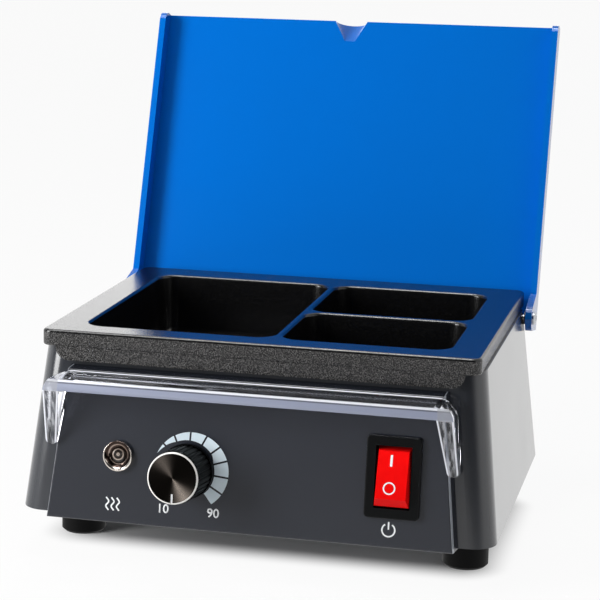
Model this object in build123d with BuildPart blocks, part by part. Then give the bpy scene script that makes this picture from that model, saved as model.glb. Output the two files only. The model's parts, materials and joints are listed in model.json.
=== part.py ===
from build123d import *
import os
from math import atan, cos, degrees, hypot, radians, sin, tan

os.makedirs("parts", exist_ok=True)

# Dental lab wax heater, in millimetres. X to the right, Y to the back, Z up.
# The origin is on the ground, in the middle of the outline with the lid standing open.

# ---- clearances ----
seat_gap = 0.05       # between two fixed pieces that plug together
run_gap = 0.05        # radial, between a shaft or pin and its bore
swing_gap = 0.3       # between a moving piece and what it stops against
screw_gap = 0.2       # radial, between a screw and the hole it passes through
blind_extra = 0.6     # how much deeper a tapped hole is than its screw

# ---- feet and base ----
foot_h = 18.3
foot_r = 9.2
foot_x = 80.6
foot_y = 38.8
foot_bore_r = 5.2
foot_bore_h = 8.0
foot_edge = 1.0
base_t = 1.5
base_gap = 0.3
vent_w = 3.5
vent_l = 30.0
vent_pitch = 9.0
vent_count = 7
vent_x = 50.0

# ---- housing shell ----
housing_h = 67.0
housing_w_low = 192.6
housing_w_high = 177.7
housing_d_low = 151.0
housing_d_high = 133.0
housing_corner_r = 10.0
wall = 2.0
ledge_w = 3.0
ledge_t = 2.5

# ---- well plate, one casting ----
plate_w = 176.0
plate_d = 141.6
plate_t = 6.6
plate_corner_r = 4.0
plate_edge_r = 1.3
plate_under_r = 0.8
lip_w = 164.0
lip_drop = 5.6
lip_t = 2.6
lip_corner_r = 5.4
lip_set_back = 0.5
rim_side = 14.0
rim_front = 12.6
rim_back = 16.6
divider = 3.0
large_well_w = 77.5
front_well_d = 52.3
well_depth = 28.0
well_r = 8.0
well_draft = 4.0
well_floor_r = 5.0
well_lip_r = 1.2
pot_wall = 3.0
pot_floor_t = 4.0
lug_r = 5.5
lug_h = 6.0

# ---- heater stack under the wells ----
heater_w = 146.0
heater_d = 100.0
heater_t = 1.5
heater_corner_r = 5.0
pad_t = 5.0
clamp_t = 1.0
clamp_x = 60.0
clamp_y = 40.0
clamp_boss_r = 4.0
cutout_x = 26.0
cutout_r = 8.0
cutout_h = 9.0
cutout_bar_w = 31.0
cutout_bar_d = 9.0
cutout_bar_t = 0.8
cutout_screw_x = 11.5
cutout_corner_r = 2.0
sensor_x = -30.0
sensor_r = 2.5
sensor_l = 11.0
sensor_boss_r = 4.5
sensor_boss_h = 6.0
stack_hole_gap = 0.4

# ---- front panel, a shallow tray standing on the sloped front wall ----
panel_depth = 7.8
panel_t = 1.5
panel_half_low = 82.6
panel_half_high = 76.1
panel_top_gap = 7.0
panel_draft = 1.2
panel_edge_r = 0.7
window_half = 68.5
window_low = 9.5
window_top_gap = 22.0
boss_r = 3.0
boss_low = (74.0, 16.0)
boss_high_x = 70.0
boss_top_gap = 17.0

# ---- splash visor, clear, on the face of the panel ----
visor_depth = 13.2
visor_top_gap = 8.7
visor_fall = 2.6
visor_lip = 4.4
visor_half_high = 80.3
visor_half_low = 82.4
visor_corner_r = 8.0
visor_wall = 4.2
visor_wall_high = 6.4
visor_cheek_h = 29.7
visor_tip_depth = 1.5
visor_tip_r = 1.9
visor_lug_h = 10.9
visor_lug_back = 6.0
visor_lug_gap = 1.05

# ---- temperature knob and its potentiometer ----
knob_x = -24.3
knob_v = 22.2
knob_r = 10.4
knob_skirt_r = 10.8
knob_skirt_h = 2.2
knob_body_h = 20.0
knob_float = 0.6
knob_hollow_r = 8.2
knob_hollow_h = 8.0
knob_flutes = 30
flute_r = 0.55
flute_out = 0.18
cap_r = 10.1
cap_t = 1.3
cap_edge = 0.5
cap_spigot_r = 7.0
cap_spigot_h = 1.0
pointer_l = 3.6
pointer_w = 0.9
pointer_cut = 0.3
shaft_r = 3.0
shaft_bite = 16.5
wiper_r = 6.5
wiper_t = 1.8
pot_r = 8.5
pot_h = 11.0
pot_shell = 1.5
bushing_r = 3.45
bushing_h = 5.0
pot_nut_af = 10.0
pot_nut_t = 2.2
pot_pin_pitch = 5.0
pot_pin_w = 1.6
pot_pin_l = 7.5

# ---- heating lamp ----
lamp_x = -52.5
lamp_v = 25.9
lamp_r = 6.0
lamp_rim_w = 0.5
lamp_proud = 2.0
lamp_bowl_r = 3.4
lamp_bowl_depth = 1.5
lamp_lead_r = 0.4
lamp_barrel_r = 4.0
lamp_barrel_h = 11.0
lens_r = 2.9
lens_base_h = 2.0
led_r = 2.5
led_h = 5.0
lamp_nut_af = 10.0
lamp_nut_t = 2.0

# ---- rocker switch ----
switch_x = 57.35
switch_v = 26.6
bezel_w = 21.3
bezel_h = 31.9
bezel_t = 2.0
bezel_corner_r = 1.6
bezel_edge_r = 0.5
switch_w = 19.0
switch_h = 29.2
switch_depth = 17.0
rocker_w = 13.4
rocker_h = 23.4
rocker_face_w = 11.8
rocker_face_h = 18.4
rocker_side_gap = 0.3
rocker_end_gap = 0.4
rocker_tilt = 13.0
rocker_pivot_depth = 1.5
rocker_face_out = 5.5
rocker_flare_out = 1.5
rocker_base_in = 1.5
rocker_pocket = 7.5
trunnion_r = 1.0
trunnion_l = 1.6
blade_w = 6.3
blade_t = 0.8
blade_l = 7.5

# ---- lid, hinge and hinge screws ----
pivot_y = 58.4
pivot_drop = 3.3
lid_angle = 20.1
lid_t = 2.8
lid_length = 135.8
flange_depth = 11.4
flange_corner_r = 5.0
lid_bend_r = 2.0
lid_rise = 0.4
tail_inset = 13.0
ear_r = 5.6
ear_blend = 12.0
ear_drop = 3.0
ear_corner_r = 4.0
scoop_x = -3.2
scoop_half = 7.5
scoop_depth = 8.0
scoop_length = 9.5
scoop_root_half = 2.4
scoop_root_depth = 0.4
scoop_wall = 1.6
hinge_pin_r = 1.5
hinge_head_r = 2.85
hinge_head_t = 1.3
hinge_head_edge = 0.8
hinge_boss_r = 2.9
hinge_side_gap = 0.15
hinge_washer_r = 2.8
hinge_washer_t = 0.7
hinge_nut_af = 5.5
hinge_nut_t = 2.4

# ---- power inlet on the back wall ----
inlet_inset = 46.3
inlet_v = 24.0
inlet_w = 27.0
inlet_h = 19.8
inlet_depth = 20.0
inlet_corner_r = 1.0
inlet_flange_w = 50.0
inlet_flange_h = 22.6
inlet_flange_t = 2.6
inlet_flange_r = 5.0
inlet_screw_x = 20.0
socket_w = 24.2
socket_h = 16.8
socket_depth = 16.0
socket_chamfer = 5.0
pin_w = 2.0
pin_h = 4.0
pin_l = 13.0
pin_x = 7.0
pin_v = 2.0
tab_l = 7.0

# ---- circuit board on the base plate ----
board_x = -20.0
board_w = 80.0
board_d = 56.0
board_t = 1.6
board_screw_x = 35.0
board_screw_y = 23.0
board_rise = 6.0
standoff_r = 3.0
relay_x = -36.0
relay_size = (19.0, 15.5, 15.0)
block_x = 0.0
block_size = (12.0, 40.0, 10.0)

# ---- screws: shank radius, head radius, head height ----
m4 = (2.0, 3.8, 2.4)
m3 = (1.5, 2.8, 1.8)
washer_t = 1.0
tie_bite = 9.0
post_r = 3.5
post_stud_l = 5.5
clamp_bite = 7.0
panel_bite = 5.0
inlet_bite = 6.0

# ---- places that follow from the sizes above ----
plate_z = foot_h + housing_h
pivot_z = plate_z - pivot_drop
panel_h = housing_h - panel_top_gap
window_high = housing_h - window_top_gap
boss_high = (boss_high_x, housing_h - boss_top_gap)
visor_top = housing_h - visor_top_gap
visor_tip = visor_top - visor_cheek_h
lug_top = visor_tip + visor_lug_h
top_z = plate_z + plate_t
base_top = foot_h + base_t
pot_z = top_z - well_depth - pot_floor_t
heater_z = pot_z - heater_t
pad_z = heater_z - pad_t
clamp_z = pad_z - clamp_t
lean = atan((housing_d_low - housing_d_high) / 2 / housing_h)
tilt_back = radians(lid_angle)
# the lid's inner face clears the plate's rear top edge all the way round the hinge
lid_offset = hypot(plate_d / 2 - pivot_y, top_z - pivot_z) + lid_rise

# the outline runs from the lowest edge of the knob's cap to the back of the lid's scoop
knob_tip = panel_depth + knob_body_h + cap_t
front_y = -housing_d_low / 2 + (knob_v - cap_r) * sin(lean) - knob_tip * cos(lean)
scoop_out = lid_offset + scoop_depth + scoop_wall
back_y = pivot_y + lid_length * sin(tilt_back) + scoop_out * cos(tilt_back)
body_y = -(front_y + back_y) / 2
inlet_x = housing_w_low / 2 - inlet_inset

front_wall = Plane(
    origin=(0, body_y - housing_d_low / 2, foot_h), x_dir=(1, 0, 0), z_dir=(0, -cos(lean), sin(lean))
)
back_wall = Plane(
    origin=(0, body_y + housing_d_low / 2, foot_h), x_dir=(-1, 0, 0), z_dir=(0, cos(lean), sin(lean))
)
panel_face = front_wall.offset(panel_depth)
wall_through = wall * cos(lean)
lid_origin = Vector(0, body_y + pivot_y, pivot_z)
lid_up = Vector(0, sin(tilt_back), cos(tilt_back))
lid_plane = Plane(origin=lid_origin, x_dir=(1, 0, 0), z_dir=(0, -cos(tilt_back), sin(tilt_back)))


def level(height):
    """Horizontal plane at a height above the ground, centred on the housing."""
    return Plane(origin=(0, body_y, height))


def spot(plane, x, v, out=0.0):
    """Copy of a wall's plane with its origin moved to a place on that wall."""
    return Plane(origin=plane.from_local_coords((x, v, out)), x_dir=plane.x_dir, z_dir=plane.z_dir)


def wall_outline(height, inset):
    """Outline of the tapering housing at a height above its lower edge."""
    share = height / housing_h
    width = housing_w_low + (housing_w_high - housing_w_low) * share - 2 * inset
    depth = housing_d_low + (housing_d_high - housing_d_low) * share - 2 * inset
    RectangleRounded(width, depth, housing_corner_r - inset)


def side_x(height):
    """Half width of the housing's side wall at a height above the ground."""
    share = (height - foot_h) / housing_h
    return (housing_w_low + (housing_w_high - housing_w_low) * share) / 2


def corner_sag(height, y, radius):
    """How far the side wall has curved in, towards the rear corner, at a height and depth."""
    share = (height - foot_h) / housing_h
    start = (housing_d_low + (housing_d_high - housing_d_low) * share) / 2 - housing_corner_r
    return radius - (radius ** 2 - max(0, y - start) ** 2) ** 0.5


# the hinge sits where the wall begins to curve, so each nut bears on a flat boss inside the wall
hinge_plane = Plane(origin=lid_origin, x_dir=(0, 1, 0), z_dir=(1, 0, 0))
nut_top = pivot_z + hinge_nut_af / 2 / cos(radians(30))
nut_back = pivot_y + hinge_nut_af / 2
nut_seat = min(side_x(nut_top), side_x(2 * pivot_z - nut_top)) - wall - corner_sag(nut_top, nut_back, housing_corner_r - wall) - seat_gap
boss_top = pivot_z + hinge_boss_r
boss_end = side_x(boss_top) - corner_sag(boss_top, pivot_y + hinge_boss_r, housing_corner_r) - seat_gap
wall_out = max(side_x(pivot_z - hinge_washer_r), side_x(pivot_z + hinge_washer_r))
lid_half = wall_out + hinge_washer_t + hinge_side_gap + lid_t


# four rubber feet, each bored from below for its tie screw
with BuildPart() as feet:
    with BuildSketch(level(0)):
        with GridLocations(2 * foot_x, 2 * foot_y, 2, 2):
            Circle(foot_r)
    extrude(amount=foot_h)
    chamfer(feet.edges().filter_by(GeomType.CIRCLE).group_by(Axis.Z)[0], foot_edge)
    with BuildSketch(level(0)):
        with GridLocations(2 * foot_x, 2 * foot_y, 2, 2):
            Circle(foot_bore_r)
    extrude(amount=foot_bore_h, mode=Mode.SUBTRACT)
    with BuildSketch(level(foot_bore_h)):
        with GridLocations(2 * foot_x, 2 * foot_y, 2, 2):
            Circle(m4[0] + screw_gap)
    extrude(amount=foot_h - foot_bore_h, mode=Mode.SUBTRACT)
feet.part.label = "feet"
export_step(feet.part, "parts/feet.step")

with BuildPart() as foot_washers:
    with BuildSketch(level(foot_bore_h - washer_t)):
        with GridLocations(2 * foot_x, 2 * foot_y, 2, 2):
            Circle(foot_bore_r - 2 * screw_gap)
            Circle(m4[0] + screw_gap, mode=Mode.SUBTRACT)
    extrude(amount=washer_t)
foot_washers.part.label = "foot_washers"
export_step(foot_washers.part, "parts/foot_washers.step")

# tie screws run up through foot and base plate into the support posts
with BuildPart() as tie_screws:
    with BuildSketch(level(foot_bore_h - washer_t - m4[2])):
        with GridLocations(2 * foot_x, 2 * foot_y, 2, 2):
            Circle(m4[1])
    extrude(amount=m4[2])
    with BuildSketch(level(foot_bore_h - washer_t)):
        with GridLocations(2 * foot_x, 2 * foot_y, 2, 2):
            Circle(m4[0])
    extrude(amount=base_top + tie_bite - foot_bore_h + washer_t)
tie_screws.part.label = "tie_screws"
export_step(tie_screws.part, "parts/tie_screws.step")

# support posts hold the casting up from the base plate
post_top = plate_z - lug_h
with BuildPart() as support_posts:
    with BuildSketch(level(base_top)):
        with GridLocations(2 * foot_x, 2 * foot_y, 2, 2):
            Circle(post_r)
    extrude(amount=post_top - base_top)
    with BuildSketch(level(base_top)):
        with GridLocations(2 * foot_x, 2 * foot_y, 2, 2):
            Circle(m4[0] + run_gap)
    extrude(amount=tie_bite + blind_extra, mode=Mode.SUBTRACT)
    with BuildSketch(level(post_top)):
        with GridLocations(2 * foot_x, 2 * foot_y, 2, 2):
            Circle(m4[0])
    extrude(amount=post_stud_l)
support_posts.part.label = "support_posts"
export_step(support_posts.part, "parts/support_posts.step")

with BuildPart() as base_plate:
    with BuildSketch(level(foot_h)):
        wall_outline(0, wall + base_gap)
        with GridLocations(2 * foot_x, 2 * foot_y, 2, 2):
            Circle(m4[0] + screw_gap, mode=Mode.SUBTRACT)
        with GridLocations(2 * vent_x, 0, 2, 1):
            with GridLocations(vent_pitch, 0, vent_count, 1):
                SlotOverall(vent_l, vent_w, rotation=90, mode=Mode.SUBTRACT)
    extrude(amount=base_t)
base_plate.part.label = "base_plate"
export_step(base_plate.part, "parts/base_plate.step")

# housing: tapering shell, open above and below, with a ledge that the base plate bears on
with BuildPart() as housing:
    for height in (0, housing_h):
        with BuildSketch(level(foot_h + height)):
            wall_outline(height, 0)
    loft(ruled=True)
    for height in (0, base_t):
        with BuildSketch(level(foot_h + height)):
            wall_outline(height, wall)
    loft(ruled=True, mode=Mode.SUBTRACT)
    for height in (base_t, base_t + ledge_t):
        with BuildSketch(level(foot_h + height)):
            wall_outline(height, wall + ledge_w)
    loft(ruled=True, mode=Mode.SUBTRACT)
    for height in (base_t + ledge_t, housing_h):
        with BuildSketch(level(foot_h + height)):
            wall_outline(height, wall)
    loft(ruled=True, mode=Mode.SUBTRACT)
    # window behind the front panel, with the panel's screw holes round it
    with BuildSketch(front_wall):
        with Locations((0, (window_low + window_high) / 2)):
            RectangleRounded(2 * window_half, window_high - window_low, wall)
        for boss_x, boss_v in (boss_low, boss_high):
            with Locations((boss_x, boss_v), (-boss_x, boss_v)):
                Circle(m3[0] + screw_gap)
    extrude(amount=-2 * wall, both=True, mode=Mode.SUBTRACT)
    # inlet cut-out and its two screw holes in the back wall
    with BuildSketch(back_wall):
        with Locations((inlet_x, inlet_v)):
            RectangleRounded(
                inlet_w + 2 * screw_gap, inlet_h + 2 * screw_gap, inlet_corner_r + screw_gap
            )
            with GridLocations(2 * inlet_screw_x, 0, 2, 1):
                Circle(m3[0] + screw_gap)
    extrude(amount=-2 * wall, both=True, mode=Mode.SUBTRACT)
    # hinge bosses, then the holes right through them and both side walls
    for side in (1, -1):
        with BuildSketch(hinge_plane.offset(side * nut_seat)):
            Circle(hinge_boss_r)
        extrude(amount=side * (boss_end - nut_seat))
    with BuildSketch(hinge_plane):
        Circle(hinge_pin_r + screw_gap)
    extrude(amount=lid_half, both=True, mode=Mode.SUBTRACT)
housing.part.label = "housing"
export_step(housing.part, "parts/housing.step")

# wells as (x0, x1, y0, y1), seen from above, measured from the plate's centre
left_x = -plate_w / 2 + rim_side
right_x = plate_w / 2 - rim_side
near_y = -plate_d / 2 + rim_front
far_y = plate_d / 2 - rim_back
small_x = left_x + large_well_w + divider
wells = (
    (left_x, left_x + large_well_w, near_y, far_y),
    (small_x, right_x, near_y, near_y + front_well_d),
    (small_x, right_x, near_y + front_well_d + divider, far_y),
)
pot_y = (near_y + far_y) / 2
pot_w = right_x - left_x + 2 * pot_wall
pot_d = far_y - near_y + 2 * pot_wall

lip_plane = Plane(
    origin=(0, body_y - plate_d / 2 + lip_set_back, plate_z + plate_t / 2), x_dir=(1, 0, 0), z_dir=(0, -1, 0)
)

# well plate: flat rim, front lip, three drafted wells and the bosses under them, one casting
with BuildPart() as well_plate:
    with BuildSketch(level(plate_z)):
        RectangleRounded(plate_w, plate_d, plate_corner_r)
    extrude(amount=plate_t)
    fillet(well_plate.edges().group_by(Axis.Z)[-1], plate_edge_r)
    fillet(well_plate.edges().group_by(Axis.Z)[0], plate_under_r)
    with BuildSketch(level(plate_z + plate_under_r)):
        with Locations((0, pot_y)):
            RectangleRounded(pot_w, pot_d, well_r + pot_wall)
    extrude(amount=pot_z - plate_z - plate_under_r, taper=well_draft)
    with BuildSketch(lip_plane) as lip_front:
        with Locations((0, -(lip_drop + plate_t / 2) / 2)):
            Rectangle(lip_w, lip_drop + plate_t / 2)
        fillet(lip_front.vertices().group_by(Axis.Y)[0], lip_corner_r)
    extrude(amount=-lip_t)
    with BuildSketch(level(plate_z + plate_t / 2)):
        with GridLocations(2 * foot_x, 2 * foot_y, 2, 2):
            Circle(lug_r)
    extrude(amount=-lug_h - plate_t / 2)
    with BuildSketch(level(pot_z)):
        with Locations((0, pot_y)):
            with GridLocations(2 * clamp_x, 2 * clamp_y, 2, 2):
                Circle(clamp_boss_r)
    extrude(amount=pad_z - pot_z)
    with BuildSketch(level(pot_z)):
        with Locations((sensor_x, pot_y)):
            Circle(sensor_boss_r)
    extrude(amount=-sensor_boss_h)
    # the three wells
    with BuildSketch(level(top_z)):
        for x0, x1, y0, y1 in wells:
            with Locations(((x0 + x1) / 2, (y0 + y1) / 2)):
                RectangleRounded(x1 - x0, y1 - y0, well_r)
    extrude(amount=-well_depth, taper=well_draft, mode=Mode.SUBTRACT)
    floors = well_plate.edges().filter_by_position(
        Axis.Z, top_z - well_depth - seat_gap, top_z - well_depth + seat_gap
    )
    fillet(floors, well_floor_r)
    rims = well_plate.faces().filter_by(Axis.Z).sort_by(Axis.Z)[-1].inner_wires().edges()
    fillet(rims, well_lip_r)
    # tapped holes: lugs, clamp bosses, sensor pocket, cut-out screws
    with BuildSketch(level(post_top)):
        with GridLocations(2 * foot_x, 2 * foot_y, 2, 2):
            Circle(m4[0] + run_gap)
    extrude(amount=post_stud_l + blind_extra, mode=Mode.SUBTRACT)
    with BuildSketch(level(pad_z)):
        with Locations((0, pot_y)):
            with GridLocations(2 * clamp_x, 2 * clamp_y, 2, 2):
                Circle(m4[0] + run_gap)
    extrude(amount=clamp_bite + blind_extra, mode=Mode.SUBTRACT)
    with BuildSketch(level(pot_z - sensor_boss_h)):
        with Locations((sensor_x, pot_y)):
            Circle(sensor_r + run_gap)
    extrude(amount=sensor_boss_h + pot_floor_t / 2, mode=Mode.SUBTRACT)
    with BuildSketch(level(pot_z)):
        with Locations((cutout_x - cutout_screw_x, pot_y), (cutout_x + cutout_screw_x, pot_y)):
            Circle(m3[0] + run_gap)
    extrude(amount=pot_floor_t / 2 + blind_extra, mode=Mode.SUBTRACT)
well_plate.part.label = "well_plate"
export_step(well_plate.part, "parts/well_plate.step")


def stack_outline(boss_hole):
    """Outline shared by the flat layers pressed against the underside of the wells."""
    with Locations((0, pot_y)):
        RectangleRounded(heater_w, heater_d, heater_corner_r)
        with GridLocations(2 * clamp_x, 2 * clamp_y, 2, 2):
            Circle(boss_hole, mode=Mode.SUBTRACT)
    with Locations((sensor_x, pot_y)):
        Circle(sensor_boss_r + stack_hole_gap, mode=Mode.SUBTRACT)
    with Locations((cutout_x, pot_y)):
        RectangleRounded(
            cutout_bar_w + 4 * stack_hole_gap, 2 * cutout_r + 4 * stack_hole_gap, cutout_corner_r,
            mode=Mode.SUBTRACT,
        )


with BuildPart() as heater_element:
    with BuildSketch(level(heater_z)):
        stack_outline(clamp_boss_r + stack_hole_gap)
    extrude(amount=heater_t)
heater_element.part.label = "heater_element"
export_step(heater_element.part, "parts/heater_element.step")

with BuildPart() as insulation_pad:
    with BuildSketch(level(pad_z)):
        stack_outline(clamp_boss_r + stack_hole_gap)
    extrude(amount=pad_t)
insulation_pad.part.label = "insulation_pad"
export_step(insulation_pad.part, "parts/insulation_pad.step")

with BuildPart() as clamp_plate:
    with BuildSketch(level(clamp_z)):
        stack_outline(m4[0] + screw_gap)
    extrude(amount=clamp_t)
clamp_plate.part.label = "clamp_plate"
export_step(clamp_plate.part, "parts/clamp_plate.step")

with BuildPart() as clamp_screws:
    with BuildSketch(level(clamp_z - m4[2])):
        with Locations((0, pot_y)):
            with GridLocations(2 * clamp_x, 2 * clamp_y, 2, 2):
                Circle(m4[1])
    extrude(amount=m4[2])
    with BuildSketch(level(clamp_z)):
        with Locations((0, pot_y)):
            with GridLocations(2 * clamp_x, 2 * clamp_y, 2, 2):
                Circle(m4[0])
    extrude(amount=clamp_t + clamp_bite)
clamp_screws.part.label = "clamp_screws"
export_step(clamp_screws.part, "parts/clamp_screws.step")

# over-temperature cut-out, its bar screwed to the underside of the wells
with BuildPart() as thermal_cutout:
    with BuildSketch(level(pot_z)):
        with Locations((cutout_x, pot_y)):
            RectangleRounded(cutout_bar_w, cutout_bar_d, cutout_corner_r)
            with GridLocations(2 * cutout_screw_x, 0, 2, 1):
                Circle(m3[0] + screw_gap, mode=Mode.SUBTRACT)
    extrude(amount=-cutout_bar_t)
    with BuildSketch(level(pot_z)):
        with Locations((cutout_x, pot_y)):
            Circle(cutout_r)
    extrude(amount=-cutout_h)
    with BuildSketch(level(pot_z - cutout_h)):
        with Locations((cutout_x, pot_y)):
            with GridLocations(0, cutout_r, 1, 2):
                Rectangle(blade_w, blade_t)
    extrude(amount=-blade_l)
thermal_cutout.part.label = "thermal_cutout"
export_step(thermal_cutout.part, "parts/thermal_cutout.step")

with BuildPart() as cutout_screws:
    with BuildSketch(level(pot_z - cutout_bar_t)):
        with Locations((cutout_x - cutout_screw_x, pot_y), (cutout_x + cutout_screw_x, pot_y)):
            Circle(m3[1])
    extrude(amount=-m3[2])
    with BuildSketch(level(pot_z - cutout_bar_t)):
        with Locations((cutout_x - cutout_screw_x, pot_y), (cutout_x + cutout_screw_x, pot_y)):
            Circle(m3[0])
    extrude(amount=cutout_bar_t + pot_floor_t / 2)
cutout_screws.part.label = "cutout_screws"
export_step(cutout_screws.part, "parts/cutout_screws.step")

with BuildPart() as temperature_sensor:
    with BuildSketch(level(pot_z + pot_floor_t / 2 - seat_gap)):
        with Locations((sensor_x, pot_y)):
            Circle(sensor_r)
    extrude(amount=-sensor_l)
    chamfer(temperature_sensor.edges().group_by(Axis.Z)[-1], sensor_r / 2)
temperature_sensor.part.label = "temperature_sensor"
export_step(temperature_sensor.part, "parts/temperature_sensor.step")


def panel_half(v):
    """Half width of the panel where it meets the housing, at a height along its slope."""
    return panel_half_low + (panel_half_high - panel_half_low) * v / panel_h


# front panel: shallow tray with drafted sides, its lower edge level with the housing's
panel_foot = 2 * panel_depth * tan(lean) + panel_draft
panel_side_t = panel_t + panel_draft
with BuildPart() as front_panel:
    with BuildSketch(front_wall):
        with BuildLine():
            Polyline(
                (-panel_half(-panel_foot), -panel_foot), (panel_half(-panel_foot), -panel_foot),
                (panel_half(panel_h), panel_h), (-panel_half(panel_h), panel_h), close=True,
            )
        make_face()
    extrude(amount=panel_depth, taper=degrees(atan(panel_draft / panel_depth)))
    split(bisect_by=Plane.XY.offset(foot_h), keep=Keep.TOP)
    outer_edges = front_panel.faces().sort_by(Axis(panel_face.origin, panel_face.z_dir))[-1].edges()
    fillet(outer_edges, panel_edge_r)
    with BuildSketch(front_wall):
        with BuildLine():
            Polyline(
                (-panel_half(panel_t) + panel_side_t, panel_t), (panel_half(panel_t) - panel_side_t, panel_t),
                (panel_half(panel_h) - panel_side_t, panel_h - panel_side_t),
                (-panel_half(panel_h) + panel_side_t, panel_h - panel_side_t), close=True,
            )
        make_face()
    extrude(amount=panel_depth - panel_t, mode=Mode.SUBTRACT)
    # screw bosses behind the face
    with BuildSketch(front_wall):
        for boss_x, boss_v in (boss_low, boss_high):
            with Locations((boss_x, boss_v), (-boss_x, boss_v)):
                Circle(boss_r)
    extrude(amount=panel_depth - panel_t)
    with BuildSketch(front_wall):
        for boss_x, boss_v in (boss_low, boss_high):
            with Locations((boss_x, boss_v), (-boss_x, boss_v)):
                Circle(m3[0] + run_gap)
    extrude(amount=panel_bite + blind_extra, mode=Mode.SUBTRACT)
    # openings for lamp, potentiometer and switch
    with BuildSketch(panel_face):
        with Locations((lamp_x, lamp_v)):
            Circle(lamp_barrel_r + seat_gap)
        with Locations((knob_x, knob_v)):
            Circle(bushing_r + seat_gap)
        with Locations((switch_x, switch_v)):
            Rectangle(switch_w + 2 * screw_gap, switch_h + 2 * screw_gap)
    extrude(amount=-2 * panel_t, mode=Mode.SUBTRACT)
front_panel.part.label = "front_panel"
export_step(front_panel.part, "parts/front_panel.step")

# panel screws, driven from inside the housing
with BuildPart() as panel_screws:
    with BuildSketch(front_wall.offset(-wall_through)):
        for boss_x, boss_v in (boss_low, boss_high):
            with Locations((boss_x, boss_v), (-boss_x, boss_v)):
                Circle(m3[1])
    extrude(amount=-m3[2])
    with BuildSketch(front_wall.offset(-wall_through)):
        for boss_x, boss_v in (boss_low, boss_high):
            with Locations((boss_x, boss_v), (-boss_x, boss_v)):
                Circle(m3[0])
    extrude(amount=wall_through + panel_bite)
panel_screws.part.label = "panel_screws"
export_step(panel_screws.part, "parts/panel_screws.step")


def visor_half(v):
    """Outer half width of the visor at a height along the panel."""
    return visor_half_low + (visor_half_high - visor_half_low) * (v - visor_tip) / (visor_top - visor_tip)


def lug_in(v):
    """Where the inner face of a visor lug stands, just outside the panel's drafted side."""
    return panel_half(v) - panel_draft + visor_lug_gap


# splash visor: hood and two tapering cheeks in one clear moulding, its tips gripping the panel's sides
visor_side = Plane(origin=panel_face.origin, x_dir=panel_face.z_dir, z_dir=(-1, 0, 0))
hood_low = visor_top - visor_fall - visor_lip
with BuildPart() as splash_visor:
    with BuildSketch(panel_face) as visor_front:
        with BuildLine():
            Polyline(
                (-visor_half(visor_tip), visor_tip), (visor_half(visor_tip), visor_tip),
                (visor_half(visor_top), visor_top), (-visor_half(visor_top), visor_top), close=True,
            )
        make_face()
        fillet(visor_front.vertices().group_by(Axis.Y)[-1], visor_corner_r)
        with BuildLine():
            Polyline(
                (-visor_half(visor_tip) + visor_wall, visor_tip),
                (visor_half(visor_tip) - visor_wall, visor_tip),
                (visor_half(hood_low) - visor_wall_high, hood_low),
                (-visor_half(hood_low) + visor_wall_high, hood_low), close=True,
            )
        make_face(mode=Mode.SUBTRACT)
        fillet(visor_front.vertices().group_by(Axis.Y)[0], visor_tip_r)
    extrude(amount=visor_depth)
    with BuildSketch(visor_side):
        with BuildLine():
            Polyline(
                (0, visor_tip), (visor_tip_depth, visor_tip), (visor_depth, hood_low),
                (visor_depth, visor_top - visor_fall), (0, visor_top), close=True,
            )
        make_face()
    extrude(amount=visor_half_low + visor_wall, both=True, mode=Mode.INTERSECT)
    # the hood's underside follows its top
    with BuildSketch(visor_side):
        with BuildLine():
            Polyline((0, hood_low), (visor_depth, hood_low), (0, hood_low + visor_fall), close=True)
        make_face()
    extrude(amount=visor_half_high - visor_corner_r, both=True, mode=Mode.SUBTRACT)
    # lugs behind the tips, outside the panel's sides
    with BuildSketch(panel_face) as visor_lug:
        with BuildLine():
            Polyline(
                (lug_in(visor_tip), visor_tip), (visor_half(visor_tip), visor_tip),
                (visor_half(lug_top), lug_top), (lug_in(lug_top), lug_top), close=True,
            )
        make_face()
        fillet(visor_lug.vertices().group_by(Axis.Y)[0], visor_tip_r - visor_lug_gap)
        mirror(about=Plane.YZ)
    extrude(amount=-visor_lug_back)
splash_visor.part.label = "splash_visor"
export_step(splash_visor.part, "parts/splash_visor.step")

# heating lamp: chrome bowl on a threaded barrel, clear lens, lamp body behind it, ring nut
with BuildPart() as lamp_bezel:
    with BuildSketch(spot(panel_face, lamp_x, lamp_v)):
        Circle(lamp_r)
    extrude(amount=lamp_proud)
    with BuildSketch(spot(panel_face, lamp_x, lamp_v)):
        Circle(lamp_barrel_r)
    extrude(amount=-lamp_barrel_h)
    with BuildSketch(spot(panel_face, lamp_x, lamp_v, lamp_proud - lamp_bowl_depth)):
        Circle(lamp_bowl_r)
    with BuildSketch(spot(panel_face, lamp_x, lamp_v, lamp_proud)):
        Circle(lamp_r - lamp_rim_w)
    loft(mode=Mode.SUBTRACT)
    with BuildSketch(spot(panel_face, lamp_x, lamp_v, lamp_proud)):
        Circle(lens_r + seat_gap)
    extrude(amount=-lamp_proud - lamp_barrel_h, mode=Mode.SUBTRACT)
    lamp_front = lamp_bezel.faces().sort_by(Axis(panel_face.origin, panel_face.z_dir))[-1]
    fillet(lamp_front.outer_wire().edges(), lamp_rim_w / 2)
lamp_bezel.part.label = "lamp_bezel"
export_step(lamp_bezel.part, "parts/lamp_bezel.step")

with BuildPart() as lamp_lens:
    with BuildSketch(spot(panel_face, lamp_x, lamp_v, -lens_base_h)):
        Circle(lens_r)
    extrude(amount=lens_base_h + lamp_proud / 2)
    lens_top = lamp_lens.faces().sort_by(Axis(panel_face.origin, panel_face.z_dir))[-1]
    fillet(lens_top.edges(), lamp_proud / 2)
lamp_lens.part.label = "lamp_lens"
export_step(lamp_lens.part, "parts/lamp_lens.step")

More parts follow.
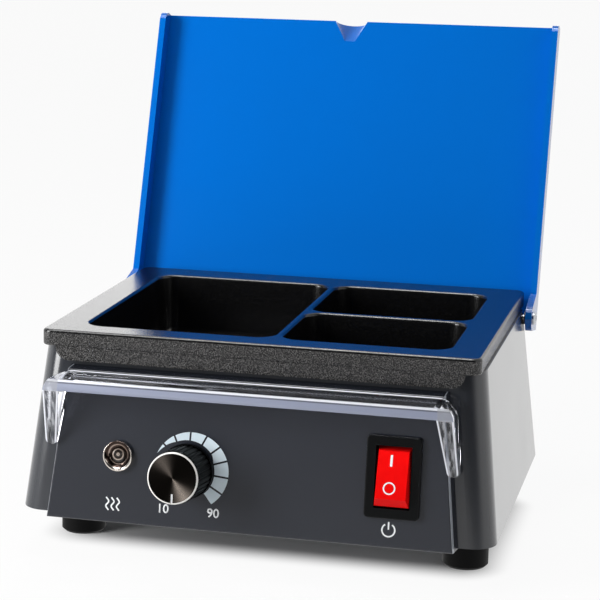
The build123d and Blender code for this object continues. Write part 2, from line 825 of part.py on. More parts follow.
with BuildPart() as lamp_body:
    with BuildSketch(spot(panel_face, lamp_x, lamp_v, -lens_base_h)):
        Circle(led_r)
    extrude(amount=-led_h)
    with BuildSketch(spot(panel_face, lamp_x, lamp_v, -lens_base_h - led_h)):
        with GridLocations(led_r, 0, 2, 1):
            Circle(lamp_lead_r)
    extrude(amount=-lamp_barrel_h)
lamp_body.part.label = "lamp_body"
export_step(lamp_body.part, "parts/lamp_body.step")

with BuildPart() as lamp_nut:
    with BuildSketch(spot(panel_face, lamp_x, lamp_v, -panel_t)):
        RegularPolygon(lamp_nut_af / 2, 6, major_radius=False)
        Circle(lamp_barrel_r + seat_gap, mode=Mode.SUBTRACT)
    extrude(amount=-lamp_nut_t)
lamp_nut.part.label = "lamp_nut"
export_step(lamp_nut.part, "parts/lamp_nut.step")

# potentiometer: can behind the panel, bushing through it, nut under the knob, shaft with its wiper
with BuildPart() as potentiometer:
    with BuildSketch(spot(panel_face, knob_x, knob_v, -panel_t)):
        Circle(pot_r)
    extrude(amount=-pot_h)
    with BuildSketch(spot(panel_face, knob_x, knob_v, -panel_t - pot_shell)):
        Circle(pot_r - pot_shell)
    extrude(amount=-(pot_h - 2 * pot_shell), mode=Mode.SUBTRACT)
    with BuildSketch(spot(panel_face, knob_x, knob_v, -panel_t)):
        Circle(bushing_r)
    extrude(amount=panel_t + bushing_h)
    with BuildSketch(spot(panel_face, knob_x, knob_v, bushing_h)):
        Circle(shaft_r + run_gap)
    extrude(amount=-(bushing_h + panel_t + 2 * pot_shell), mode=Mode.SUBTRACT)
    with BuildSketch(spot(panel_face, knob_x, knob_v - pot_r, -panel_t - pot_h / 2)):
        with GridLocations(pot_pin_pitch, 0, 3, 1):
            Rectangle(pot_pin_w, pot_pin_l)
    extrude(amount=-blade_t)
potentiometer.part.label = "potentiometer"
export_step(potentiometer.part, "parts/potentiometer.step")

with BuildPart() as pot_nut:
    with BuildSketch(spot(panel_face, knob_x, knob_v)):
        RegularPolygon(pot_nut_af / 2, 6, major_radius=False)
        Circle(bushing_r + seat_gap, mode=Mode.SUBTRACT)
    extrude(amount=pot_nut_t)
pot_nut.part.label = "pot_nut"
export_step(pot_nut.part, "parts/pot_nut.step")

wiper_face = -panel_t - pot_shell - swing_gap
with BuildPart() as pot_shaft:
    with BuildSketch(spot(panel_face, knob_x, knob_v, wiper_face)):
        Circle(wiper_r)
    extrude(amount=-wiper_t)
    with BuildSketch(spot(panel_face, knob_x, knob_v, wiper_face)):
        Circle(shaft_r)
    extrude(amount=shaft_bite - wiper_face)
pot_shaft.part.label = "pot_shaft"
export_step(pot_shaft.part, "parts/pot_shaft.step")

# knob: fluted body on a smooth skirt, hollow over the nut, with a spun metal cap let into its face
with BuildPart() as knob_body:
    with BuildSketch(spot(panel_face, knob_x, knob_v, knob_float)):
        Circle(knob_skirt_r)
    extrude(amount=knob_skirt_h)
    with BuildSketch(spot(panel_face, knob_x, knob_v, knob_float + knob_skirt_h)):
        Circle(knob_r)
        with PolarLocations(knob_r + flute_out, knob_flutes):
            Circle(flute_r, mode=Mode.SUBTRACT)
    extrude(amount=knob_body_h - knob_float - knob_skirt_h)
    with BuildSketch(spot(panel_face, knob_x, knob_v, knob_float)):
        Circle(knob_hollow_r)
    extrude(amount=knob_hollow_h, mode=Mode.SUBTRACT)
    with BuildSketch(spot(panel_face, knob_x, knob_v, knob_float)):
        Circle(shaft_r + seat_gap)
    extrude(amount=shaft_bite - knob_float + seat_gap, mode=Mode.SUBTRACT)
    with BuildSketch(spot(panel_face, knob_x, knob_v, knob_body_h)):
        Circle(cap_spigot_r + seat_gap)
    extrude(amount=-cap_spigot_h - seat_gap, mode=Mode.SUBTRACT)
knob_body.part.label = "knob_body"
export_step(knob_body.part, "parts/knob_body.step")

with BuildPart() as knob_cap:
    with BuildSketch(spot(panel_face, knob_x, knob_v, knob_body_h)):
        Circle(cap_r)
    extrude(amount=cap_t)
    cap_front = knob_cap.faces().sort_by(Axis(panel_face.origin, panel_face.z_dir))[-1]
    chamfer(cap_front.edges(), cap_edge)
    with BuildSketch(spot(panel_face, knob_x, knob_v, knob_body_h)):
        Circle(cap_spigot_r)
    extrude(amount=-cap_spigot_h)
    # pointer groove, at the foot of the cap when the knob is turned right down
    with BuildSketch(spot(panel_face, knob_x, knob_v, knob_body_h + cap_t)):
        with Locations((0, -(cap_r - cap_edge) + pointer_l / 2)):
            Rectangle(pointer_w, pointer_l)
    extrude(amount=-pointer_cut, mode=Mode.SUBTRACT)
knob_cap.part.label = "knob_cap"
export_step(knob_cap.part, "parts/knob_cap.step")

# rocker switch: framed body with a deep pocket, rocker on side trunnions, blades behind
pivot_spot = spot(panel_face, switch_x, switch_v, -rocker_pivot_depth)
trunnion_plane = Plane(origin=pivot_spot.origin, x_dir=panel_face.y_dir, z_dir=panel_face.x_dir)
pocket_w = rocker_w + 2 * rocker_side_gap
pocket_h = rocker_h + 2 * rocker_end_gap
with BuildPart() as switch_body:
    with BuildSketch(spot(panel_face, switch_x, switch_v)):
        RectangleRounded(bezel_w, bezel_h, bezel_corner_r)
    extrude(amount=bezel_t)
    bezel_front = switch_body.faces().sort_by(Axis(panel_face.origin, panel_face.z_dir))[-1]
    fillet(bezel_front.edges(), bezel_edge_r)
    with BuildSketch(spot(panel_face, switch_x, switch_v)):
        Rectangle(switch_w, switch_h)
    extrude(amount=-switch_depth)
    with BuildSketch(spot(panel_face, switch_x, switch_v, bezel_t)):
        Rectangle(pocket_w, pocket_h)
    extrude(amount=-(bezel_t + rocker_pocket), mode=Mode.SUBTRACT)
    with BuildSketch(trunnion_plane):
        Circle(trunnion_r + run_gap)
    extrude(amount=pocket_w / 2 + trunnion_l, both=True, mode=Mode.SUBTRACT)
switch_body.part.label = "switch_body"
export_step(switch_body.part, "parts/switch_body.step")

rocker_plane = pivot_spot.rotated((-rocker_tilt, 0, 0))
with BuildPart() as switch_rocker:
    with BuildSketch(rocker_plane.offset(-rocker_base_in)):
        Rectangle(rocker_w, rocker_h)
    extrude(amount=rocker_base_in + rocker_flare_out)
    with BuildSketch(rocker_plane.offset(rocker_flare_out)):
        Rectangle(rocker_w, rocker_h)
    with BuildSketch(rocker_plane.offset(rocker_face_out)):
        Rectangle(rocker_face_w, rocker_face_h)
    loft(ruled=True)
    with BuildSketch(trunnion_plane):
        Circle(trunnion_r)
    extrude(amount=pocket_w / 2 + trunnion_l - rocker_side_gap, both=True)
switch_rocker.part.label = "switch_rocker"
export_step(switch_rocker.part, "parts/switch_rocker.step")

with BuildPart() as switch_blades:
    with BuildSketch(spot(panel_face, switch_x, switch_v, -switch_depth)):
        with GridLocations(switch_w / 2, switch_h / 2, 2, 2):
            Rectangle(blade_w, blade_t)
    extrude(amount=-blade_l)
switch_blades.part.label = "switch_blades"
export_step(switch_blades.part, "parts/switch_blades.step")

# power inlet in the back wall, with three pins and two screws
inlet_spot = spot(back_wall, inlet_x, inlet_v)
with BuildPart() as power_inlet:
    with BuildSketch(inlet_spot):
        RectangleRounded(inlet_flange_w, inlet_flange_h, inlet_flange_r)
        with GridLocations(2 * inlet_screw_x, 0, 2, 1):
            Circle(m3[0] + screw_gap, mode=Mode.SUBTRACT)
    extrude(amount=inlet_flange_t)
    with BuildSketch(inlet_spot):
        RectangleRounded(inlet_w, inlet_h, inlet_corner_r)
    extrude(amount=-inlet_depth)
    with BuildSketch(inlet_spot.offset(inlet_flange_t)) as socket_mouth:
        Rectangle(socket_w, socket_h)
        chamfer(socket_mouth.vertices().group_by(Axis.Y)[-1], socket_chamfer)
    extrude(amount=-socket_depth, mode=Mode.SUBTRACT)
    with BuildSketch(inlet_spot.offset(-inlet_depth)):
        with Locations((-pin_x, -pin_v), (0, pin_v), (pin_x, -pin_v)):
            Rectangle(pin_w + seat_gap, pin_h + seat_gap)
    extrude(amount=inlet_depth, mode=Mode.SUBTRACT)
power_inlet.part.label = "power_inlet"
export_step(power_inlet.part, "parts/power_inlet.step")

with BuildPart() as inlet_pins:
    with BuildSketch(inlet_spot.offset(-inlet_depth - tab_l)):
        with Locations((-pin_x, -pin_v), (0, pin_v), (pin_x, -pin_v)):
            Rectangle(pin_w, pin_h)
    extrude(amount=tab_l + inlet_depth + inlet_flange_t - socket_depth + pin_l)
inlet_pins.part.label = "inlet_pins"
export_step(inlet_pins.part, "parts/inlet_pins.step")

with BuildPart() as inlet_screws:
    with BuildSketch(inlet_spot.offset(inlet_flange_t)):
        with GridLocations(2 * inlet_screw_x, 0, 2, 1):
            Circle(m3[1])
    extrude(amount=m3[2])
    with BuildSketch(inlet_spot.offset(inlet_flange_t)):
        with GridLocations(2 * inlet_screw_x, 0, 2, 1):
            Circle(m3[0])
    extrude(amount=-inlet_flange_t - inlet_bite)
inlet_screws.part.label = "inlet_screws"
export_step(inlet_screws.part, "parts/inlet_screws.step")

# circuit board on four standoffs over the base plate
board_z = base_top + board_rise
with BuildPart() as board_standoffs:
    with BuildSketch(level(base_top)):
        with Locations((board_x, 0)):
            with GridLocations(2 * board_screw_x, 2 * board_screw_y, 2, 2):
                Circle(standoff_r)
                Circle(m3[0] + run_gap, mode=Mode.SUBTRACT)
    extrude(amount=board_rise)
board_standoffs.part.label = "board_standoffs"
export_step(board_standoffs.part, "parts/board_standoffs.step")

with BuildPart() as circuit_board:
    with BuildSketch(level(board_z)):
        with Locations((board_x, 0)):
            Rectangle(board_w, board_d)
            with GridLocations(2 * board_screw_x, 2 * board_screw_y, 2, 2):
                Circle(m3[0] + screw_gap, mode=Mode.SUBTRACT)
    extrude(amount=board_t)
circuit_board.part.label = "circuit_board"
export_step(circuit_board.part, "parts/circuit_board.step")

with BuildPart() as board_screws:
    with BuildSketch(level(board_z + board_t)):
        with Locations((board_x, 0)):
            with GridLocations(2 * board_screw_x, 2 * board_screw_y, 2, 2):
                Circle(m3[1])
    extrude(amount=m3[2])
    with BuildSketch(level(board_z + board_t)):
        with Locations((board_x, 0)):
            with GridLocations(2 * board_screw_x, 2 * board_screw_y, 2, 2):
                Circle(m3[0])
    extrude(amount=-board_t - board_rise)
board_screws.part.label = "board_screws"
export_step(board_screws.part, "parts/board_screws.step")

with BuildPart() as relay:
    with BuildSketch(level(board_z + board_t)):
        with Locations((relay_x, 0)):
            Rectangle(relay_size[0], relay_size[1])
    extrude(amount=relay_size[2])
relay.part.label = "relay"
export_step(relay.part, "parts/relay.step")

with BuildPart() as terminal_block:
    with BuildSketch(level(board_z + board_t)):
        with Locations((block_x, 0)):
            Rectangle(block_size[0], block_size[1])
    extrude(amount=block_size[2])
terminal_block.part.label = "terminal_block"
export_step(terminal_block.part, "parts/terminal_block.step")

# lid: shallow tray hung on two ears; standing open, the tail between them rests on the back wall
wall_slope = tan(lean)
tail_gap = swing_gap / cos(lean)
tail_reach = (
    housing_d_high / 2 + wall_slope * (plate_z - pivot_z + lid_offset * sin(tilt_back))
    + tail_gap - pivot_y - lid_offset * cos(tilt_back)
)
lid_tail = tail_reach / (sin(tilt_back) + wall_slope * cos(tilt_back))
lid_back = -lid_offset - lid_t
flange_edge = lid_back + flange_depth
side_plane = Plane(origin=lid_origin + Vector(lid_half, 0, 0), x_dir=lid_up, z_dir=(1, 0, 0))
scoop_plane = Plane(
    origin=lid_plane.from_local_coords((scoop_x, lid_length, -lid_offset)), x_dir=(1, 0, 0), z_dir=lid_up
)
ear_root = ear_corner_r - ear_drop
tail_half = lid_half - tail_inset
with BuildPart() as lid:
    # the panel
    with BuildSketch(lid_plane.offset(lid_back)):
        with Locations((0, (lid_length + ear_root) / 2)):
            Rectangle(2 * lid_half, lid_length - ear_root)
    extrude(amount=lid_t)
    # right flange with its ear, then its mirror image
    with BuildSketch(side_plane) as flange_outline:
        with Locations(((lid_length - ear_drop) / 2, (lid_back + flange_edge) / 2)):
            Rectangle(lid_length + ear_drop, flange_depth)
        fillet(flange_outline.vertices().group_by(Axis.X)[-1].sort_by(Axis.Y)[-1], flange_corner_r)
    extrude(amount=-lid_t)
    with BuildSketch(side_plane):
        Circle(ear_r)
        with Locations(((ear_blend - ear_drop) / 2, (lid_back + ear_corner_r + flange_edge) / 2)):
            Rectangle(ear_blend + ear_drop, flange_depth - ear_corner_r)
        make_hull()
    extrude(amount=-lid_t)
    with BuildSketch(side_plane):
        Circle(hinge_pin_r + run_gap)
    extrude(amount=-lid_t, mode=Mode.SUBTRACT)
    mirror(about=Plane.YZ)
    rear_edges = lid.edges().filter_by(Axis(lid_origin, lid_up)).group_by(Axis(lid_origin, lid_plane.z_dir))[0]
    fillet(rear_edges.sort_by(SortBy.LENGTH)[-2:], lid_bend_r)
    # round the lower rear corner of both flanges
    with BuildSketch(side_plane):
        with Locations((ear_corner_r / 2 - ear_drop, lid_back + ear_corner_r / 2)):
            Rectangle(ear_corner_r, ear_corner_r)
        with Locations((ear_root, lid_back + ear_corner_r)):
            Circle(ear_corner_r, mode=Mode.SUBTRACT)
    extrude(amount=-2 * lid_half, mode=Mode.SUBTRACT)
    # tail between the ears
    with BuildSketch(lid_plane.offset(lid_back)):
        with Locations((0, (ear_root + lid_tail) / 2)):
            Rectangle(2 * tail_half, ear_root - lid_tail)
    extrude(amount=lid_t)
    # finger scoop pushed outwards at the front edge
    with BuildSketch(scoop_plane):
        Ellipse(scoop_half + scoop_wall, scoop_depth + scoop_wall)
    with BuildSketch(scoop_plane.offset(-scoop_length)):
        Ellipse(scoop_root_half + scoop_wall, scoop_root_depth + scoop_wall)
    loft(ruled=True)
    with BuildSketch(scoop_plane):
        Ellipse(scoop_half, scoop_depth)
    with BuildSketch(scoop_plane.offset(-scoop_length)):
        Ellipse(scoop_root_half, scoop_root_depth)
    loft(ruled=True, mode=Mode.SUBTRACT)
    with BuildSketch(lid_plane.offset(-lid_offset)):
        with Locations((scoop_x, lid_length - scoop_length / 2)):
            Rectangle(2 * (scoop_half + scoop_wall), 2 * scoop_length)
    extrude(amount=scoop_depth + 2 * scoop_wall, mode=Mode.SUBTRACT)
lid.part.label = "lid"
export_step(lid.part, "parts/lid.step")

# hinge screws through ears, washers and side walls, with nuts inside
ear_face = lid_half + hinge_side_gap
with BuildPart() as hinge_screws:
    with BuildSketch(hinge_plane.offset(ear_face)):
        Circle(hinge_head_r)
    extrude(amount=hinge_head_t)
    screw_front = hinge_screws.faces().sort_by(Axis.X)[-1]
    chamfer(screw_front.edges(), hinge_head_edge)
    with BuildSketch(hinge_plane.offset(nut_seat - hinge_nut_t)):
        Circle(hinge_pin_r)
    extrude(amount=ear_face - nut_seat + hinge_nut_t)
    mirror(about=Plane.YZ)
hinge_screws.part.label = "hinge_screws"
export_step(hinge_screws.part, "parts/hinge_screws.step")

with BuildPart() as hinge_washers:
    with BuildSketch(hinge_plane.offset(wall_out)):
        Circle(hinge_washer_r)
        Circle(hinge_pin_r + screw_gap, mode=Mode.SUBTRACT)
    extrude(amount=hinge_washer_t)
    mirror(about=Plane.YZ)
hinge_washers.part.label = "hinge_washers"
export_step(hinge_washers.part, "parts/hinge_washers.step")

with BuildPart() as hinge_nuts:
    with BuildSketch(hinge_plane.offset(nut_seat)):
        RegularPolygon(hinge_nut_af / 2, 6, major_radius=False, rotation=30)
        Circle(hinge_pin_r + seat_gap, mode=Mode.SUBTRACT)
    extrude(amount=-hinge_nut_t)
    mirror(about=Plane.YZ)
hinge_nuts.part.label = "hinge_nuts"
export_step(hinge_nuts.part, "parts/hinge_nuts.step")
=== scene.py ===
import json
import math
import bmesh
import bpy
import numpy as np
from mathutils import Matrix, Vector

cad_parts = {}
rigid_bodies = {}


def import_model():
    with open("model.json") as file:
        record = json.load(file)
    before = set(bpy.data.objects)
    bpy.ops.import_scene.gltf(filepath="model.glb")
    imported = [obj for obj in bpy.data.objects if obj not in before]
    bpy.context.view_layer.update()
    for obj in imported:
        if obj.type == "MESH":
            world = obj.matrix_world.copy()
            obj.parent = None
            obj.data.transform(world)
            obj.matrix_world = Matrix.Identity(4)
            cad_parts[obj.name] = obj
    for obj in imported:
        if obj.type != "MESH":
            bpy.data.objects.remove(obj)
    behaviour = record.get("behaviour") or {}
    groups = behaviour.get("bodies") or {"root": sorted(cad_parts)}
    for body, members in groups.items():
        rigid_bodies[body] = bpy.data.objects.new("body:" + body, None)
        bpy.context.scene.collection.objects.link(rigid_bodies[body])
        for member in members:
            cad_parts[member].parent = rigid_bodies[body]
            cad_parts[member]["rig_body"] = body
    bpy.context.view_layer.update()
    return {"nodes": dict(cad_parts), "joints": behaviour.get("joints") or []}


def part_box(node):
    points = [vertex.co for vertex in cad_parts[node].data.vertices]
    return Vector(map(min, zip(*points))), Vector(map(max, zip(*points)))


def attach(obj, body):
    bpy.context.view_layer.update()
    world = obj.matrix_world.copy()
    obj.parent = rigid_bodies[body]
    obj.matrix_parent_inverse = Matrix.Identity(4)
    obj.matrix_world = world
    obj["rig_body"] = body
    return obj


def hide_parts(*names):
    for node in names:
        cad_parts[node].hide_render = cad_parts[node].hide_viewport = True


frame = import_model()
mm = 0.001
joints = {joint["name"]: joint for joint in frame["joints"]}
sideways = np.array((1.0, 0.0, 0.0))
knobCentre = np.array(joints["knob_turn"]["pos_m"])      # on the panel's face
panelOut = -np.array(joints["knob_turn"]["axis"])        # the panel leans back a little
panelUp = np.cross(panelOut, sideways)
print("frame loaded:", len(frame["nodes"]), "nodes")


camera = {
    "place": (0.18573, -0.84596, 0.27001),
    "yaw": 13.78,                    # degrees to the left of straight ahead
    "pitch": 11.94,                  # degrees downwards
    "roll": 0.95,
    "focalPixels": 2073.4,
    "centreShift": (-46.8, 12.9),    # pixels from the middle of the picture
    "pictureWidth": 600,
    "sensorWidth": 36.0,
}


def addCamera():
    yaw, pitch, roll = (math.radians(camera[key]) for key in ("yaw", "pitch", "roll"))
    ahead = Vector((-math.sin(yaw) * math.cos(pitch), math.cos(yaw) * math.cos(pitch), -math.sin(pitch)))
    right = ahead.cross(Vector((0, 0, 1))).normalized()
    up = right.cross(ahead)
    rolledRight = math.cos(roll) * right + math.sin(roll) * up
    rolledUp = math.cos(roll) * up - math.sin(roll) * right
    lens = bpy.data.cameras.new("photo_camera")
    lens.sensor_width = camera["sensorWidth"]
    lens.lens = camera["focalPixels"] * camera["sensorWidth"] / camera["pictureWidth"]
    lens.shift_x = -camera["centreShift"][0] / camera["pictureWidth"]
    lens.shift_y = camera["centreShift"][1] / camera["pictureWidth"]
    holder = bpy.data.objects.new("photo_camera", lens)
    turn = Matrix((rolledRight, rolledUp, -ahead)).transposed().to_4x4()
    holder.matrix_world = Matrix.Translation(camera["place"]) @ turn
    bpy.context.scene.collection.objects.link(holder)
    bpy.context.scene.camera = holder


# sRGB hex to linear RGBA: each channel is divided by 12.92 or raised to 2.4 after an offset.
def linear(hexColour):
    channels = np.array([int(hexColour[i:i + 2], 16) for i in (1, 3, 5)]) / 255
    low = channels <= 0.04045
    value = np.where(low, channels / 12.92, ((channels + 0.055) / 1.055) ** 2.4)
    return (*value.tolist(), 1.0)


# Gives a node's inputs, by name or number, another node's output, a socket or a plain value.
def plug(tree, node, inputs):
    for key, value in inputs.items():
        if isinstance(value, bpy.types.Node):
            value = next(output for output in value.outputs if output.enabled)
        if isinstance(value, bpy.types.NodeSocket):
            tree.links.new(value, node.inputs[key])
        else:
            node.inputs[key].default_value = value


def addNode(tree, kind, inputs=None, **settings):
    node = tree.nodes.new("ShaderNode" + kind)
    for key, value in settings.items():
        setattr(node, key, value)
    plug(tree, node, inputs or {})
    return node


# A material with one Principled shader; returns it with its tree, shader and Object coordinates.
def startFinish(name, colour, roughness, **sockets):
    material = bpy.data.materials.new(name)
    material.use_nodes = True
    tree = material.node_tree
    tree.nodes.clear()
    shader = addNode(tree, "BsdfPrincipled", {"Base Color": linear(colour), "Roughness": roughness})
    plug(tree, shader, {key.replace("_", " "): value for key, value in sockets.items()})
    addNode(tree, "OutputMaterial", {"Surface": shader})
    return material, tree, shader, addNode(tree, "TexCoord").outputs["Object"]


# Bump from noise: grain is the width of one grain and height its depth, both in millimetres.
def addGrain(tree, shader, place, grain, height, detail=3.0, strength=1.0):
    noise = addNode(tree, "TexNoise", {"Vector": place, "Scale": 1 / (grain * mm), "Detail": detail})
    bump = addNode(tree, "Bump", {"Height": noise, "Distance": height * mm, "Strength": strength})
    plug(tree, shader, {"Normal": bump})
    return noise


drift = {"detail": 4.0, "low": 0.15, "high": 0.85}       # nearly all of the noise lies between the two values


# A tone that drifts slowly between two colours over patches of that many millimetres, and its noise.
def driftingTone(tree, place, patch, colours):
    noise = addNode(tree, "TexNoise", {"Vector": place, "Scale": 1 / (patch * mm), "Detail": drift["detail"]})
    tint = addNode(tree, "Mix", {0: noise, 6: linear(colours[0]), 7: linear(colours[1])}, data_type="RGBA")
    return tint, noise


# Roughness drifts with the colour.
def addVariation(tree, shader, place, patch, colours, roughnesses):
    tint, noise = driftingTone(tree, place, patch, colours)
    rough = addNode(tree, "MapRange", {"Value": noise, "From Min": drift["low"], "From Max": drift["high"],
                                       "To Min": roughnesses[0], "To Max": roughnesses[1]})
    plug(tree, shader, {"Base Color": tint, "Roughness": rough})


# In every finish below, lengths are millimetres.
lidFinish = {
    "colours": ("#0070D6", "#006ED1"),
    "rough": (0.1, 0.14),
    "patch": 40,
    "peel": 2.2,
    "peelHeight": 0.002,
}
housingFinish = {
    "colours": ("#2B2E34", "#2E3137"),
    "rough": (0.17, 0.22),
    "patch": 40,
    "peel": 3.0,
    "peelHeight": 0.004,
}


# Sprayed paint: a smooth film with a faint orange peel, so highlights waver a little.
def enamel(name, finish, **sockets):
    material, tree, shader, place = startFinish(name, finish["colours"][0], finish["rough"][0], **sockets)
    addVariation(tree, shader, place, finish["patch"], finish["colours"], finish["rough"])
    addGrain(tree, shader, place, finish["peel"], finish["peelHeight"], 1.0)
    return material


panelFinish = {
    "colours": ("#24272F", "#272A32"),
    "rough": 0.27,
    "patch": 40,
    "peel": 0.8,
    "peelHeight": 0.003,
    # painted highlight along the face's two upright edges
    "edge": "#A9AFB8",
    "highlightWidth": 0.45,
    "half": (81.4, 74.9),        # half widths of the front face, at the bottom and at the top
}


# The moulded panel's two upright edges carry a painted highlight: a pale line begins where the distance
# from the middle passes the face's half width, which shrinks evenly with height.
def panelSatin():
    material, tree, shader, place = startFinish("satin_grey_panel", panelFinish["colours"][0],
                                                panelFinish["rough"])
    tint = driftingTone(tree, place, panelFinish["patch"], panelFinish["colours"])[0]
    low, high = (corner[2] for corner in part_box("front_panel"))
    parts = addNode(tree, "SeparateXYZ", {0: place})
    first, last = (value * mm for value in panelFinish["half"])
    half = addNode(tree, "MapRange", {"Value": parts.outputs["Z"], "From Min": low, "From Max": high,
                                      "To Min": first, "To Max": last})
    beside = addNode(tree, "Math", {0: parts.outputs["X"]}, operation="ABSOLUTE")
    off = addNode(tree, "Math", {0: beside, 1: half}, operation="SUBTRACT")
    reach = panelFinish["highlightWidth"] / 2 * mm
    line = addNode(tree, "Math", {0: off, 1: reach, 2: reach}, operation="COMPARE")
    highlighted = addNode(tree, "Mix", {0: line, 6: tint, 7: linear(panelFinish["edge"])}, data_type="RGBA")
    plug(tree, shader, {"Base Color": highlighted})
    addGrain(tree, shader, place, panelFinish["peel"], panelFinish["peelHeight"], 1.0)
    return material


castFinish = {
    "dark": "#0A0A0B",
    # painted glints: pale below the top face, dark on it
    "paintedGlint": "#5E5C5B",
    "topPaintedGlint": "#1A1A1B",
    "rough": (0.13, 0.24),
    "grain": 0.46,
    "grainHeight": 0.22,
    "wellHalf": (75.5, 57.5),    # the wells lie within these half widths
    "rim": 1.2,                  # and the top face above that depth
    "wellSmooth": 0.05,          # shares of the grain that are left in the wells and on the top
    "topSmooth": 0.3,
    "tips": (0.5, 0.62),         # the noise's values between which the painted glints appear
    "roughFrom": (0.3, 0.7),     # and those between which the roughness grows
}


# Sand-cast aluminium under a black non-stick coating: the sand's grain glitters at a low angle through its
# bump, and paler flecks on the grains' tips are painted glints, paler below the top face than on it. Wax
# keeps the wells smooth, and there are almost no painted glints in them.
def castCoat():
    material, tree, shader, place = startFinish("cast_aluminium_black_coat", castFinish["dark"], 0.2)
    low, high = (np.array(corner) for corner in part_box("well_plate"))
    centred = addNode(tree, "VectorMath", {0: place, 1: tuple((low + high) / 2)}, operation="SUBTRACT")
    away = addNode(tree, "VectorMath", {0: centred}, operation="ABSOLUTE")
    parts = addNode(tree, "SeparateXYZ", {0: away})
    halfX, halfY = (half * mm for half in castFinish["wellHalf"])
    across = addNode(tree, "Math", {0: parts.outputs["X"], 1: halfX}, operation="LESS_THAN")
    along = addNode(tree, "Math", {0: parts.outputs["Y"], 1: halfY}, operation="LESS_THAN")
    height = addNode(tree, "SeparateXYZ", {0: place}).outputs["Z"]
    below = addNode(tree, "Math", {0: height, 1: high[2] - castFinish["rim"] * mm}, operation="LESS_THAN")
    within = addNode(tree, "Math", {0: across, 1: along}, operation="MULTIPLY")
    inWell = addNode(tree, "Math", {0: within, 1: below}, operation="MULTIPLY")
    wells = addNode(tree, "MapRange", {"Value": inWell, "To Min": 1.0, "To Max": castFinish["wellSmooth"]})
    sides = addNode(tree, "MapRange", {"Value": below, "To Min": castFinish["topSmooth"], "To Max": 1.0})
    zone = addNode(tree, "Math", {0: wells, 1: sides}, operation="MULTIPLY")
    grains = addGrain(tree, shader, place, castFinish["grain"], castFinish["grainHeight"], 2.0, zone)
    first, last = castFinish["tips"]
    tips = addNode(tree, "MapRange", {"Value": grains, "From Min": first, "From Max": last})
    glintMask = addNode(tree, "Math", {0: tips, 1: wells}, operation="MULTIPLY")
    paintedGlint = addNode(tree, "Mix", {0: below, 6: linear(castFinish["topPaintedGlint"]),
                                  7: linear(castFinish["paintedGlint"])}, data_type="RGBA")
    tint = addNode(tree, "Mix", {0: glintMask, 6: linear(castFinish["dark"]), 7: paintedGlint}, data_type="RGBA")
    first, last = castFinish["roughFrom"]
    smooth, coarse = castFinish["rough"]
    rough = addNode(tree, "MapRange", {"Value": grains, "From Min": first, "From Max": last,
                                       "To Min": smooth, "To Max": coarse})
    plug(tree, shader, {"Base Color": tint, "Roughness": rough})
    return material


# Drift is how far the roughness strays to both sides.
moulding = {"patch": 9, "drift": np.array((-0.05, 0.05))}
plating = {"streak": 0.3, "stretch": (0.08, 1.0, 1.0), "drift": np.array((-0.06, 0.08)), "height": 0.002}


# Injection-moulded plastic or rubber with a fine spark-eroded grain.
def plainMoulding(name, colour, darker, roughness, grain=0.4, height=0.006, **sockets):
    material, tree, shader, place = startFinish(name, colour, roughness, **sockets)
    addVariation(tree, shader, place, moulding["patch"], (colour, darker), roughness + moulding["drift"])
    addGrain(tree, shader, place, grain, height)
    return material


# Plated or brushed metal: fine streaks along one direction.
def platedMetal(name, colour, darker, roughness):
    material, tree, shader, place = startFinish(name, colour, roughness, Metallic=1.0)
    streaks = addNode(tree, "Mapping", {"Vector": place, "Scale": plating["stretch"]})
    addVariation(tree, shader, streaks, plating["streak"], (colour, darker), roughness + plating["drift"])
    addGrain(tree, shader, streaks, plating["streak"], plating["height"])
    return material


visorFinish = {
    "clear": "#F6F8FF",
    "edge": "#ECEEF6",           # milky cut edges, partly their own frosted white and partly painted highlight
    "lipLow": "#989EB3",
    "lipShade": "#6E7280",        # painted shade between the lip's two bands
    "depth": (1.5, 13.2),        # how far the front stands out, at the tips and at the hood
    "below": (29.7, 7.0),        # how far these two places lie below the hood's top
    "half": (82.4, 80.3),        # half widths at the tips and at the hood's top
    "wall": (4.2, 6.4),          # the cheeks' walls at the tips and at the hood
    "line": 0.65,                # width of a milky edge, which fades between these shares of it
    "frontFade": (0.4, 1.3),
    "sideFade": (0.6, 1.3),
    "panelFade": (1.5, 2.0),
    "lipMilkAndHighlight": 0.6,
    "lipFade": 0.6,
    "lipStart": 0.1,             # the cheeks end that far below the hood's lower edge
    "bands": (4.1, 3.6),         # the lip's upper band of painted highlight gives way to its lower tone between these depths below the top
    "paintedShade": (3.7, 0.32),         # depth and half width of the painted shade
    "rearLine": 1.2,             # height of the painted glow line along the hood's rear
    "glow": 0.6,                 # strength of that painted glow, given off though the sheet is no lamp
    # streaks of milk and painted highlight on the front
    "streak": 1.1,
    "streakStretch": (1.0, 0.5, 0.08),
    "streakFrom": (0.42, 0.62),
    "streakMilkAndHighlight": 0.35,
    "flow": 14,
    "flowHeight": 0.01,
}
